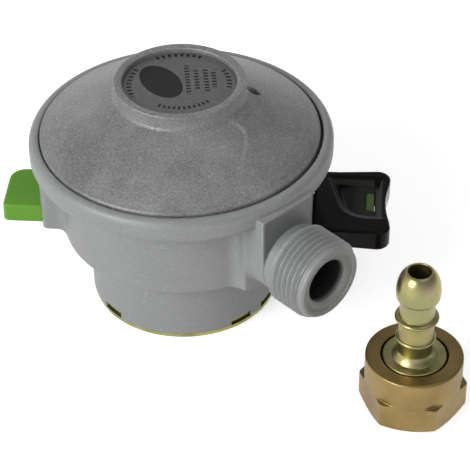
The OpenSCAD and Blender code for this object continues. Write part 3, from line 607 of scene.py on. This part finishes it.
def arm_moulded(x, y, z):
    """The slide's arm, with its stub under the knob and the lug that shows in the window."""
    low, high = ARM_LOW, ARM_HIGH
    arm = extruded(box_distance(x, y, (low.x, low.y), (KNOB_NEAR - 0.2, high.y), 0.3), z,
                   low.z, high.z, 0.2)
    slot = extruded(box_distance(x, y, (low.x - 2, -PLATE_W / 2), (low.x + 3.15, PLATE_W / 2), 0.1),
                    z, low.z + 1, low.z + 3, 0.05)
    groove = extruded(box_distance(x, y, (GROOVE_X[0], -GROOVE_HALF_W),
                                   (GROOVE_X[1], GROOVE_HALF_W), 0.1),
                      z, high.z - 0.35, high.z + 1, 0.05)
    arm = cut(arm, np.minimum(slot, groove), 0.05)
    stub = extruded(box_distance(x, y, (KNOB_NEAR - 1, -STUB_HALF_W),
                                 (LUG_X + LUG_HALF_W, STUB_HALF_W), 0.3),
                    z, low.z + 0.3, low.z + 2.1, 0.2)
    lug = extruded(box_distance(x, y, (LUG_X - LUG_HALF_W, LUG_Y - LUG_HALF_L),
                                (LUG_X + LUG_HALF_W, LUG_Y + LUG_HALF_L), 0.3),
                   z, low.z + 0.3, KNOB_HIGH.z - 1.25, 0.25)
    return np.minimum(np.minimum(arm, stub), lug)


def hexagon(x, y, flats, turn):
    """Distance to a hexagon across its flats, with soft corners."""
    found = None
    for i in range(6):
        a = turn + math.radians(30 + 60 * i)
        side = x * math.cos(a) + y * math.sin(a) - flats / 2
        found = side if found is None else -joined(-found, -side, 0.5)
    return found


def nut_forged(x, y, z):
    """The union nut: hexagon, round collar, thread bore and top hole."""
    x, y = x - NUT_X, y - NUT_Y
    reach = np.hypot(x, y)
    corner_r = NUT_AF / 2 / math.cos(math.radians(30))
    hexed = np.maximum(hexagon(x, y, NUT_AF, NUT_TURN), np.abs(z - HEX_H / 2) - HEX_H / 2)
    # Turned chamfers at the hexagon's corners; the last factor makes each slope a distance
    under = (reach - (NUT_AF / 2 - 0.2) - z * 1.58) * 0.53
    over = (reach - corner_r - (HEX_H - 0.25 - z) * 1.8) * 0.49
    hexed = np.maximum(hexed, np.maximum(under, over))
    collar = extruded(reach - NUT_COLLAR_R, z, HEX_H - 0.2, NUT_H, 0.55)
    solid = joined(hexed, collar, 0.2)
    groove = 0.42 * np.cos(2 * np.pi * (z / THREAD_PITCH - np.arctan2(y, x) / (2 * np.pi)))
    thread = np.maximum(reach - NUT_BORE_R - 0.3 - groove * step_up(NUT_THREAD_END - z, 0, 0.8),
                        z - NUT_BORE_END)
    hole = np.maximum(reach - NUT_HOLE_R, NUT_HOLE_Z - z)
    mouth = reach - NUT_MOUTH_R + z * 1.1
    solid = cut(solid, np.minimum(thread, mouth * 0.67), 0.15)
    return cut(solid, hole, 0.25)


def bead(rise, out, half):
    """Round ridge on the nozzle's shank: its middle's height, stand-out and half height."""
    turns = [math.radians(a) for a in range(-90, 91, 20)]
    return [(SHANK_R + out * math.cos(a), NUT_H + rise + half * math.sin(a)) for a in turns]


def nozzle_outline():
    """Half section of the nozzle, as radius and height."""
    s, top, boss, foot = SHANK_R, NOZZLE_HIGH.z, NUT_H, NOZZLE_LOW.z
    nose_z = boss + NOSE_RISE
    nose_h = (top - nose_z) / math.sin(math.radians(NOSE_TURN))
    nose = [(NOSE_R + (BARB_R - NOSE_R) * math.cos(math.radians(a)),
             nose_z + nose_h * math.sin(math.radians(a))) for a in range(0, NOSE_TURN + 1, 7)]
    return ([(NOZZLE_BORE_R, foot), (FLANGE_R, foot), (FLANGE_R, foot + FLANGE_T),
             (BOSS_R, foot + FLANGE_T), (BOSS_R, boss - 0.2), (BOSS_R - 0.2, boss)]
            + [(s + 1.2, boss), (s + 0.95, boss + 0.4), (s + 0.45, boss + 1), (s, boss + 1.8)]
            + bead(5.5, 0.6, 0.58) + bead(11.5, 1.05, 0.68)
            + [(s, boss + 17), (s + 0.8, boss + 17.25), (BARB_R - 0.1, boss + 17.8)] + nose
            + [(NOZZLE_BORE_R + 0.1, top), (NOZZLE_BORE_R, top - 0.2)])


def thread_outline():
    """Half section of the threaded end, as radius and distance along the outlet."""
    start = OUTLET_L - THREAD_L
    rows = int(THREAD_L / 0.1)
    outer = [(THREAD_R, start + THREAD_L * i / rows) for i in range(rows + 1)]
    return ([(BORE_R, start)] + outer
            + [(MOUTH_R + 0.6, OUTLET_L), (MOUTH_R + 0.45, OUTLET_L - 0.3),
               (MOUTH_R, OUTLET_L - 0.35), (BORE_R + 0.15, OUTLET_L - MOUTH_DEPTH),
               (BORE_R, OUTLET_L - MOUTH_DEPTH - 0.3)])


def thread_wobble(radius, height, turn):
    """Cuts the helical groove and the plain land at the mouth into the threaded end."""
    start = OUTLET_L - THREAD_L
    outer = radius > THREAD_R - 0.1
    phase = (height - start) / THREAD_PITCH - turn / (2 * np.pi)
    wave = np.abs((phase % 1) - 0.5) * 2
    groove = THREAD_DEPTH * np.clip(1.25 * (1 - wave) - 0.1, 0, 1)
    groove = groove * step_up(height, start + 0.2, start + 1.0)
    land = 0.62 * step_up(height, OUTLET_L - LAND_L - 0.25, OUTLET_L - LAND_L)
    land = land + 0.35 * np.maximum(0, height - (OUTLET_L - LAND_L))
    land = land + 0.4 * step_up(height, OUTLET_L - 0.35, OUTLET_L)
    return np.where(outer, radius - np.maximum(groove, land), radius), height


def tongue_outline():
    """Plan of the green tongue."""
    half = (TONGUE_HIGH.y - TONGUE_LOW.y) / 2
    end = TONGUE_LOW.x
    return ([(TONGUE_HIGH.x, -half), (TONGUE_HIGH.x, half)]
            + arc((end + 4, half - 4), 4, 90, 180, 10)
            + arc((end + 1.5, -half + 1.5), 1.5, 180, 270, 5))


tongue_flat = drawn(tongue_outline())


def tongue_moulded(x, y, z):
    """The green tongue, with a little draft towards its top."""
    draft = 0.03 * (z - TONGUE_LOW.z)
    return extruded(tongue_flat(x, y) + draft, z, TONGUE_LOW.z, TONGUE_HIGH.z, 0.5)


# ---------------------------------------------------------------- nodes

def node(tree, kind, inputs=(), **settings):
    """A new node with its settings, and its inputs set or linked."""
    made = tree.nodes.new(kind)
    for name, value in settings.items():
        setattr(made, name, value)
    for name, value in dict(inputs).items():
        if isinstance(value, bpy.types.NodeSocket):
            tree.links.new(value, made.inputs[name])
        else:
            made.inputs[name].default_value = value
    return made


def maths(tree, operation, a, b=0.0, clamp=False):
    """The result of one math node."""
    return node(tree, "ShaderNodeMath", {0: a, 1: b}, operation=operation, use_clamp=clamp).outputs[0]


def ranged(tree, value, low, high, to_low=0.0, to_high=1.0):
    """The value carried from one range to another, and held there."""
    found = node(tree, "ShaderNodeMapRange", {0: value, 1: low, 2: high, 3: to_low, 4: to_high},
                 clamp=True)
    return found.outputs[0]


def mixed(tree, share, a, b):
    """Two colours mixed by a share."""
    made = node(tree, "ShaderNodeMix", data_type="RGBA")
    for socket, value in ((made.inputs[0], share), (made.inputs[6], a), (made.inputs[7], b)):
        if isinstance(value, bpy.types.NodeSocket):
            tree.links.new(value, socket)
        else:
            socket.default_value = value
    return made.outputs[2]


def noise(tree, place, scale, detail=2.0, rough=0.5):
    """Grey noise at a scale per metre."""
    made = node(tree, "ShaderNodeTexNoise",
                {"Vector": place, "Scale": scale, "Detail": detail, "Roughness": rough})
    return made.outputs["Fac"]


def object_place(tree):
    """Coordinates in the part's frame, in metres."""
    return node(tree, "ShaderNodeTexCoord").outputs["Object"]


def new_group(name, inputs, outputs):
    """An empty node group with named inputs and outputs."""
    group = bpy.data.node_groups.new(name, "ShaderNodeTree")
    for socket_name, kind, value in inputs:
        socket = group.interface.new_socket(socket_name, in_out="INPUT", socket_type=kind)
        socket.default_value = value
    for socket_name, kind in outputs:
        group.interface.new_socket(socket_name, in_out="OUTPUT", socket_type=kind)
    return group, group.nodes.new("NodeGroupInput"), group.nodes.new("NodeGroupOutput")


def grain_group():
    """Fine grain of a sand-blasted or cast skin, with slow clouds over it."""
    group, given, made = new_group(
        "surface_grain",
        [("Grain per metre", "NodeSocketFloat", 2600.0), ("Clouds per metre", "NodeSocketFloat", 90.0)],
        [("Height", "NodeSocketFloat"), ("Specks", "NodeSocketFloat"), ("Clouds", "NodeSocketFloat"),
         ("Sparkle", "NodeSocketFloat")])
    place = object_place(group)
    fine = noise(group, place, given.outputs[0], 3.0, 0.65)
    coarse = noise(group, place, maths(group, "MULTIPLY", given.outputs[0], 0.45), 2.0)
    height = maths(group, "ADD", maths(group, "MULTIPLY", fine, 0.6),
                   maths(group, "MULTIPLY", coarse, 0.4))
    group.links.new(height, made.inputs["Height"])
    group.links.new(ranged(group, fine, 0.38, 0.62), made.inputs["Specks"])
    group.links.new(ranged(group, coarse, 0.62, 0.70), made.inputs["Sparkle"])
    group.links.new(ranged(group, noise(group, place, given.outputs[1], 3.0), 0.32, 0.68),
                    made.inputs["Clouds"])
    return group


def edge_group():
    """Mask of worn outer edges, broken up by noise."""
    group, given, made = new_group(
        "edge_wear",
        [("Start", "NodeSocketFloat", 0.52), ("Full", "NodeSocketFloat", 0.62)],
        [("Mask", "NodeSocketFloat")])
    point = node(group, "ShaderNodeNewGeometry").outputs["Pointiness"]
    broken = maths(group, "MULTIPLY", noise(group, object_place(group), 420.0, 4.0), 1.6, clamp=True)
    edge = node(group, "ShaderNodeMapRange", {0: point, 1: given.outputs[0], 2: given.outputs[1]})
    group.links.new(maths(group, "MULTIPLY", edge.outputs[0], broken), made.inputs["Mask"])
    return group


def plating_group():
    """Colours of passivated zinc, drifting slowly between three tints."""
    group, given, made = new_group(
        "passivated_zinc",
        [("Main", "NodeSocketColor", (0.5, 0.45, 0.2, 1)), ("Second", "NodeSocketColor", (0.4, 0.4, 0.3, 1)),
         ("Third", "NodeSocketColor", (0.5, 0.3, 0.4, 1)), ("Drift per metre", "NodeSocketFloat", 160.0)],
        [("Color", "NodeSocketColor"), ("Clouds", "NodeSocketFloat")])
    place = object_place(group)
    first = noise(group, place, given.outputs[3], 2.0)
    second = noise(group, place, maths(group, "MULTIPLY", given.outputs[3], 2.3), 3.0)
    tint = mixed(group, ranged(group, first, 0.42, 0.6), given.outputs[0], given.outputs[1])
    tint = mixed(group, ranged(group, second, 0.52, 0.66, 0.0, 0.75), tint, given.outputs[2])
    group.links.new(tint, made.inputs["Color"])
    group.links.new(second, made.inputs["Clouds"])
    return group


GRAIN = grain_group()
EDGES = edge_group()
PLATING = plating_group()


def group_node(tree, group, **values):
    """The group placed in a material, with its own values."""
    made = tree.nodes.new("ShaderNodeGroup")
    made.node_tree = group
    for name, value in values.items():
        made.inputs[name.replace("_", " ")].default_value = value
    return made


def new_material(name, **values):
    """A material with one Principled shader, whose plain values are set on its own sockets."""
    material = bpy.data.materials.new(name)
    material.use_nodes = True
    tree = material.node_tree
    shader = tree.nodes["Principled BSDF"]
    for socket, value in values.items():
        shader.inputs[socket.replace("_", " ")].default_value = value
    return material, tree, shader


def bumped(tree, shader, height, distance):
    """Sends a height to the shader's normal, as a bump of that many metres."""
    bump = node(tree, "ShaderNodeBump", {"Height": height, "Distance": distance, "Strength": 1.0})
    tree.links.new(bump.outputs[0], shader.inputs["Normal"])


def body_marks_and_shade(tree, colour):
    """The body's colour, darker on the rim's top, with painted shade on the block's face and in the bore."""
    x, y, z = node(tree, "ShaderNodeSeparateXYZ", {0: object_place(tree)}).outputs
    rim = ranged(tree, z, *RIM_DARK_Z, 0.0, 0.12)
    colour = mixed(tree, rim, colour, (0.20, 0.202, 0.205, 1))
    c, s = math.cos(OUTLET_ANGLE), math.sin(OUTLET_ANGLE)
    along = maths(tree, "SUBTRACT", maths(tree, "MULTIPLY", x, c), maths(tree, "MULTIPLY", y, s))
    across = maths(tree, "ADD", maths(tree, "MULTIPLY", x, s), maths(tree, "MULTIPLY", y, c))
    off = node(tree, "ShaderNodeCombineXYZ", {0: across, 1: maths(tree, "SUBTRACT", z, OUTLET_Z * MM)})
    reach = node(tree, "ShaderNodeVectorMath", {0: off.outputs[0]}, operation="LENGTH")
    # Painted shade deep in the outlet's bore, near black from just inside the mouth inwards
    bore = maths(tree, "MULTIPLY", maths(tree, "LESS_THAN", reach.outputs["Value"], (BORE_R + 0.12) * MM),
                 ranged(tree, along, *BORE_SHADE_U, 0.0, 0.97))
    bore = maths(tree, "MULTIPLY", bore, maths(tree, "GREATER_THAN", along, 0.02))
    # Painted shade on the block's flat end face, which turns away from the key lamp and lies under the rim
    face = maths(tree, "MULTIPLY", within(tree, along, (BLOCK_L - 0.05) * MM, FACE_SHADE_HALF), 0.45)
    colour = mixed(tree, face, colour, (0.09, 0.092, 0.1, 1))
    return mixed(tree, bore, colour, (0.008, 0.008, 0.009, 1))


def slide_lug_shade(tree, colour):
    """The green plastic's colour, with painted shade on the lug inside the knob."""
    x, _, _ = node(tree, "ShaderNodeSeparateXYZ", {0: object_place(tree)}).outputs
    # Painted shade: the arm darkens past x 20 to 30 mm, where the lug sits in the knob's window
    return mixed(tree, ranged(tree, x, *LUG_SHADE_X, 0.0, 0.85), colour, (0.045, 0.09, 0.008, 1))


def knob_wall_sheen(tree, colour):
    """The black plastic's colour, with a painted grey sheen on the wall of the thumb hollow."""
    x, y, z = node(tree, "ShaderNodeSeparateXYZ", {0: object_place(tree)}).outputs
    wall = maths(tree, "MULTIPLY", ranged(tree, z, *WALL_FOOT_Z), ranged(tree, z, *WALL_TOP_Z))
    wall = maths(tree, "MULTIPLY", wall, within(tree, y, WALL_Y, WALL_HALF_Y))
    wall = maths(tree, "MULTIPLY", wall, within(tree, x, WALL_X, WALL_HALF_X))
    # Painted sheen: the band high on the hollow's wall is made grey
    return mixed(tree, wall, colour, (0.045, 0.044, 0.038, 1))


def cast_material(name, dark, light, grain, rough, metallic, bump, marks_and_painted_light=None, wear=0.6):
    """Grey die-cast metal with a fine grain, and with worn edges, and marks and painted light, if it has
    any.
    """
    material, tree, shader = new_material(name, Metallic=metallic)
    skin_look = group_node(tree, GRAIN, Grain_per_metre=grain)
    share = maths(tree, "ADD", maths(tree, "MULTIPLY", skin_look.outputs["Specks"], 0.6),
                  maths(tree, "MULTIPLY", skin_look.outputs["Clouds"], 0.4))
    colour = mixed(tree, share, dark, light)
    bright = tuple(min(1.0, 1.35 * c) for c in light[:3]) + (1,)
    if wear:
        worn = group_node(tree, EDGES)
        colour = mixed(tree, maths(tree, "MULTIPLY", worn.outputs[0], wear), colour, bright)
    # Painted glints: the coarse grain's brightest specks are made lighter in the colour
    colour = mixed(tree, maths(tree, "MULTIPLY", skin_look.outputs["Sparkle"], 0.35), colour, bright)
    if marks_and_painted_light:
        colour = marks_and_painted_light(tree, colour)
    tree.links.new(colour, shader.inputs["Base Color"])
    tree.links.new(ranged(tree, skin_look.outputs["Clouds"], 0, 1, rough - 0.04, rough + 0.05),
                   shader.inputs["Roughness"])
    bumped(tree, shader, skin_look.outputs["Height"], bump)
    return material


def zinc_material(name, main, second, third, rough=0.28, drift=160.0):
    """Steel with a passivated zinc plating."""
    material, tree, shader = new_material(name, Metallic=1.0)
    plated = group_node(tree, PLATING, Main=main, Second=second, Third=third, Drift_per_metre=drift)
    tree.links.new(plated.outputs["Color"], shader.inputs["Base Color"])
    tree.links.new(ranged(tree, plated.outputs["Clouds"], 0.3, 0.7, rough - 0.05, rough + 0.1),
                   shader.inputs["Roughness"])
    skin_look = group_node(tree, GRAIN, Grain_per_metre=1500.0)
    bumped(tree, shader, skin_look.outputs["Height"], 0.00003)
    return material


def metal_material(name, dark, light, rough):
    """Plain bright or dark metal of the inner pieces."""
    material, tree, shader = new_material(name, Metallic=1.0)
    skin_look = group_node(tree, GRAIN, Grain_per_metre=1800.0)
    tree.links.new(mixed(tree, skin_look.outputs["Clouds"], dark, light), shader.inputs["Base Color"])
    tree.links.new(ranged(tree, skin_look.outputs["Specks"], 0, 1, rough - 0.05, rough + 0.08),
                   shader.inputs["Roughness"])
    bumped(tree, shader, skin_look.outputs["Height"], 0.00002)
    return material


def plastic_material(name, dark, light, rough, grain, bump, gloss=0.5, marks_and_painted_light=None):
    """Moulded plastic or rubber."""
    material, tree, shader = new_material(name, Specular_IOR_Level=gloss)
    skin_look = group_node(tree, GRAIN, Grain_per_metre=grain, Clouds_per_metre=60.0)
    worn = group_node(tree, EDGES)
    colour = mixed(tree, skin_look.outputs["Clouds"], dark, light)
    bright = tuple(min(1.0, 1.5 * c + 0.01) for c in light[:3]) + (1,)
    colour = mixed(tree, maths(tree, "MULTIPLY", worn.outputs[0], 0.35), colour, bright)
    if marks_and_painted_light:
        colour = marks_and_painted_light(tree, colour)
    tree.links.new(colour, shader.inputs["Base Color"])
    tree.links.new(ranged(tree, skin_look.outputs["Specks"], 0, 1, rough - 0.04, rough + 0.06),
                   shader.inputs["Roughness"])
    bumped(tree, shader, skin_look.outputs["Height"], bump)
    return material


def turned_axes(tree, x, y, degrees):
    """The two coordinates in a frame turned by some degrees."""
    c, s = math.cos(math.radians(degrees)), math.sin(math.radians(degrees))
    along = maths(tree, "ADD", maths(tree, "MULTIPLY", x, c), maths(tree, "MULTIPLY", y, s))
    across = maths(tree, "SUBTRACT", maths(tree, "MULTIPLY", y, c), maths(tree, "MULTIPLY", x, s))
    return along, across


def within(tree, value, middle, half):
    """1 where a value lies within half of the middle."""
    away = maths(tree, "ABSOLUTE", maths(tree, "SUBTRACT", value, middle))
    return maths(tree, "LESS_THAN", away, half)


def label_oval(tree, x, y):
    """The plain oval on the cover disc."""
    along, across = turned_axes(tree, maths(tree, "SUBTRACT", x, OVAL_X),
                                maths(tree, "SUBTRACT", y, OVAL_Y), OVAL_TURN)
    place = node(tree, "ShaderNodeCombineXYZ", {0: maths(tree, "DIVIDE", along, OVAL_HALF_L),
                                                1: maths(tree, "DIVIDE", across, OVAL_HALF_W)})
    reach = node(tree, "ShaderNodeVectorMath", {0: place.outputs[0]}, operation="LENGTH")
    return maths(tree, "LESS_THAN", reach.outputs["Value"], 1.0)


def label_mask(tree, x, y):
    """Print on the cover disc: an oval, four arcs of dashes and four rows of dashes."""
    ink = label_oval(tree, x, y)
    place = node(tree, "ShaderNodeCombineXYZ", {0: x, 1: y})
    reach = node(tree, "ShaderNodeVectorMath", {0: place.outputs[0]}, operation="LENGTH").outputs["Value"]
    for middle, half, radius in DASH_ARCS:
        # Each arc's own angle starts at its middle, so that none passes the half turn
        along, across = turned_axes(tree, x, y, middle)
        turn = maths(tree, "ARCTAN2", across, along)
        wave = maths(tree, "SINE", maths(tree, "MULTIPLY", turn, ARC_DASHES))
        dash = maths(tree, "GREATER_THAN", wave, 0.0)
        arc_ink = maths(tree, "MULTIPLY", within(tree, turn, 0.0, math.radians(half)),
                        within(tree, reach, radius * MM, ARC_INK_HALF))
        ink = maths(tree, "MAXIMUM", ink, maths(tree, "MULTIPLY", arc_ink, dash))
    across, along = turned_axes(tree, x, y, ROWS_TURN)
    wave = maths(tree, "SINE", maths(tree, "MULTIPLY", along, ROW_DASHES))
    dash = maths(tree, "GREATER_THAN", wave, -0.15)
    for row, top, bottom in DASH_ROWS:
        row_ink = maths(tree, "MULTIPLY", within(tree, across, row * MM, ROW_INK_HALF),
                        within(tree, along, (top + bottom) / 2 * MM, (top - bottom) / 2 * MM))
        ink = maths(tree, "MAXIMUM", ink, maths(tree, "MULTIPLY", row_ink, dash))
    return ink


def label_material():
    """Brushed grey foil of the cover disc, with its print."""
    material, tree, shader = new_material("cover_disc_foil", Metallic=0.45)
    place = node(tree, "ShaderNodeSeparateXYZ", {0: object_place(tree)})
    ink = label_mask(tree, place.outputs[0], place.outputs[1])
    skin_look = group_node(tree, GRAIN, Grain_per_metre=2400.0)
    foil = mixed(tree, skin_look.outputs["Specks"], (0.125, 0.125, 0.13, 1), (0.185, 0.185, 0.19, 1))
    tree.links.new(mixed(tree, ink, foil, (0.016, 0.016, 0.017, 1)), shader.inputs["Base Color"])
    tree.links.new(ranged(tree, ink, 0, 1, 0.42, 0.5), shader.inputs["Roughness"])
    bumped(tree, shader, skin_look.outputs["Height"], 0.00002)
    return material


MATERIALS = {
    "cast_grey": cast_material("cast_body_grey", (0.285, 0.29, 0.29, 1), (0.345, 0.35, 0.35, 1),
                               2300.0, 0.5, 0.2, 0.00005, body_marks_and_shade),
    "cast_bonnet": cast_material("cast_bonnet_grey", (0.15, 0.152, 0.155, 1), (0.335, 0.338, 0.342, 1),
                                 2300.0, 0.42, 0.3, 0.00014, wear=0.0),
    "disc_grey": label_material(),
    "yellow_zinc": zinc_material("guide_ring_zinc", (0.42, 0.37, 0.12, 1), (0.27, 0.26, 0.10, 1),
                                 (0.36, 0.36, 0.18, 1)),
    "nozzle_zinc": zinc_material("nozzle_zinc", (0.42, 0.37, 0.15, 1), (0.31, 0.30, 0.14, 1),
                                 (0.42, 0.33, 0.23, 1), 0.32, 120.0),
    "zinc_steel": metal_material("bright_zinc_steel", (0.5, 0.5, 0.5, 1), (0.62, 0.62, 0.63, 1), 0.3),
    "spring_steel": metal_material("spring_steel", (0.3, 0.3, 0.31, 1), (0.4, 0.4, 0.41, 1), 0.35),
    "brass": metal_material("turned_brass", (0.55, 0.39, 0.15, 1), (0.66, 0.48, 0.2, 1), 0.28),
    "nut_brass": metal_material("forged_brass", (0.22, 0.155, 0.06, 1), (0.33, 0.235, 0.095, 1), 0.4),
    "green_plastic": plastic_material("green_moulding", (0.11, 0.32, 0.016, 1), (0.145, 0.38, 0.022, 1),
                                      0.42, 1800.0, 0.00002, 0.45, slide_lug_shade),
    "black_plastic": plastic_material("black_moulding", (0.003, 0.003, 0.003, 1), (0.006, 0.006, 0.006, 1),
                                      0.16, 1500.0, 0.00001, 0.12, knob_wall_sheen),
    "rubber_black": plastic_material("black_rubber", (0.012, 0.012, 0.012, 1), (0.022, 0.022, 0.023, 1),
                                     0.6, 2200.0, 0.00003),
}


# ---------------------------------------------------------------- pieces

def skinned_piece(name, field, low, high, step, body, slot, nodes):
    """A piece whose surface is where its field is zero."""
    margin = 1.5 * step
    points, faces = skin(field, np.array(low) - margin, np.array(high) + margin, step)
    return new_piece(name, points, faces, body, slot, nodes)


def turned_piece(name, outline, sides, place, body, slot, nodes, wobble=None):
    """A piece turned on a lathe, with its sharp edges kept, and carried to its place."""
    points, faces = turned(outline, sides, wobble)
    piece = new_piece(name, moved(points, place), faces, body, slot, nodes)
    piece.data.set_sharp_from_angle(angle=math.radians(35))


def cast_pieces():
    """The lower casting, its threaded end and the bonnet."""
    skinned_piece("cast_body", casting, BODY_LOW, CAST_HIGH, 0.45,
                  "regulator", "cast_grey", ["lower_body"])
    to_outlet = Matrix.Translation((0, 0, OUTLET_Z)) @ Matrix.Rotation(-OUTLET_ANGLE, 4, "Z") \
        @ Matrix.Rotation(math.pi / 2, 4, "Y")
    turned_piece("outlet_thread", thread_outline(), 144, to_outlet,
                 "regulator", "cast_grey", ["lower_body"], thread_wobble)
    turned_piece("bonnet_casting", bonnet_outline(), 540, Matrix.Identity(4),
                 "regulator", "cast_bonnet", ["bonnet"], bonnet_relief)


def slide_pieces():
    """The green tongue, the black knob and the slide's arm with its lug."""
    skinned_piece("green_tongue", tongue_moulded, TONGUE_LOW, TONGUE_HIGH, 0.3,
                  "slide", "green_plastic", ["release_tongue"])
    skinned_piece("thumb_knob", knob_moulded, KNOB_LOW, KNOB_HIGH, 0.25,
                  "slide", "black_plastic", ["knob"])
    skinned_piece("slide_arm_lug", arm_moulded, ARM_LOW, ARM_HIGH, 0.25,
                  "slide", "green_plastic", ["slide_arm"])


def fitting_pieces():
    """The union nut and the hose nozzle."""
    skinned_piece("brass_nut", nut_forged, NUT_LOW, NUT_HIGH, 0.25,
                  "fitting", "nut_brass", ["union_nut"])
    at_nut = Matrix.Translation((NUT_X, NUT_Y, 0))
    turned_piece("barbed_nozzle", softened(nozzle_outline(), 0.15), 96, at_nut,
                 "nozzle", "nozzle_zinc", ["hose_nozzle"])


def dress_cad_nodes():
    """Gives each CAD node that stays the material of its slot."""
    for part in frame["record"]["subparts"]:
        mesh = frame["nodes"][part["node"]].data
        mesh.materials.clear()
        mesh.materials.append(MATERIALS[part["material_slot"]])


# ---------------------------------------------------------------- stage, light and camera

def ray_share(tree):
    """1 for rays that come straight from the camera, or by gloss or glass."""
    path = node(tree, "ShaderNodeLightPath").outputs
    seen = maths(tree, "ADD", path["Is Camera Ray"], path["Is Glossy Ray"])
    return maths(tree, "ADD", seen, path["Is Transmission Ray"], clamp=True)


def make_floor():
    """Plain pale floor that keeps the object's shadow."""
    half = 1.5
    mesh = bpy.data.meshes.new("floor")
    mesh.from_pydata([(-half, -half, 0), (half, -half, 0), (half, half, 0), (-half, half, 0)], [],
                     [(0, 1, 2, 3)])
    floor = bpy.data.objects.new("floor", mesh)
    bpy.context.scene.collection.objects.link(floor)
    material, tree, shader = new_material("pale_floor", Roughness=0.9,
                                          Specular_IOR_Level=0.1, Emission_Color=(1, 1, 1, 1))
    seen = ray_share(tree)
    tree.links.new(mixed(tree, seen, (0.62, 0.62, 0.62, 1), (0.85, 0.85, 0.85, 1)),
                   shader.inputs["Base Color"])
    tree.links.new(maths(tree, "MULTIPLY", seen, 0.6), shader.inputs["Emission Strength"])
    mesh.materials.append(material)


def make_world():
    """Pale surroundings: white low down, dimmer overhead, softer as light, and dim on the right in gloss."""
    world = bpy.data.worlds.new("studio")
    bpy.context.scene.world = world
    world.use_nodes = True
    tree = world.node_tree
    background = tree.nodes["Background"]
    background.inputs["Color"].default_value = (1, 1, 1, 1)
    sky = node(tree, "ShaderNodeTexCoord").outputs["Generated"]
    across, _, up = node(tree, "ShaderNodeSeparateXYZ", {0: sky}).outputs
    seen = ranged(tree, up, 0.25, 0.6, 1.0, 0.34)
    share = ray_share(tree)
    soft = ranged(tree, across, 0.0, 0.8, 0.40, 0.33)
    strength = maths(tree, "ADD", maths(tree, "MULTIPLY", seen, share),
                     maths(tree, "MULTIPLY", maths(tree, "SUBTRACT", 1.0, share), soft))
    side = ranged(tree, across, 0.1, 0.8, 1.0, 0.35)
    path = node(tree, "ShaderNodeLightPath").outputs
    whole = maths(tree, "SUBTRACT", 1.0, path["Is Glossy Ray"])
    strength = maths(tree, "MULTIPLY", strength, maths(tree, "MAXIMUM", whole, side))
    tree.links.new(strength, background.inputs["Strength"])


def add_lamp(name, place, size, power):
    """A soft square lamp that looks at the object."""
    data = bpy.data.lights.new(name, "AREA")
    data.size = size
    data.energy = power
    lamp = bpy.data.objects.new(name, data)
    lamp.location = place
    lamp.rotation_euler = (Vector((0, 0, 0.03)) - Vector(place)).to_track_quat("-Z", "Y").to_euler()
    bpy.context.scene.collection.objects.link(lamp)


def make_camera():
    """The camera, slightly rolled, looking down at the front of the slide."""
    turn, pitch, roll = CAMERA_TURN, CAMERA_PITCH, CAMERA_ROLL
    ahead = Vector((-math.cos(pitch) * math.sin(turn), math.cos(pitch) * math.cos(turn),
                    -math.sin(pitch)))
    right = ahead.cross(Vector((0, 0, 1))).normalized()
    up = right.cross(ahead)
    tilted_right = right * math.cos(roll) - up * math.sin(roll)
    tilted_up = up * math.cos(roll) + right * math.sin(roll)
    data = bpy.data.cameras.new("camera")
    data.sensor_width = SENSOR_W
    data.lens = FOCAL_PX / PICTURE_PX * SENSOR_W
    data.clip_start = 0.01
    camera = bpy.data.objects.new("camera", data)
    facing = Matrix((tilted_right, tilted_up, -ahead)).transposed()
    camera.matrix_world = Matrix.Translation(Vector(CAMERA_PLACE) * MM) @ facing.to_4x4()
    bpy.context.scene.collection.objects.link(camera)
    bpy.context.scene.camera = camera


make_camera()
make_world()
make_floor()
add_lamp("key_lamp", (-0.54, -0.60, 0.50), 0.45, 5.2)
add_lamp("top_lamp", (0.35, -0.1, 0.9), 0.5, 0.9)
bpy.context.scene.view_settings.view_transform = "Standard"

cast_pieces()
slide_pieces()
fitting_pieces()
dress_cad_nodes()
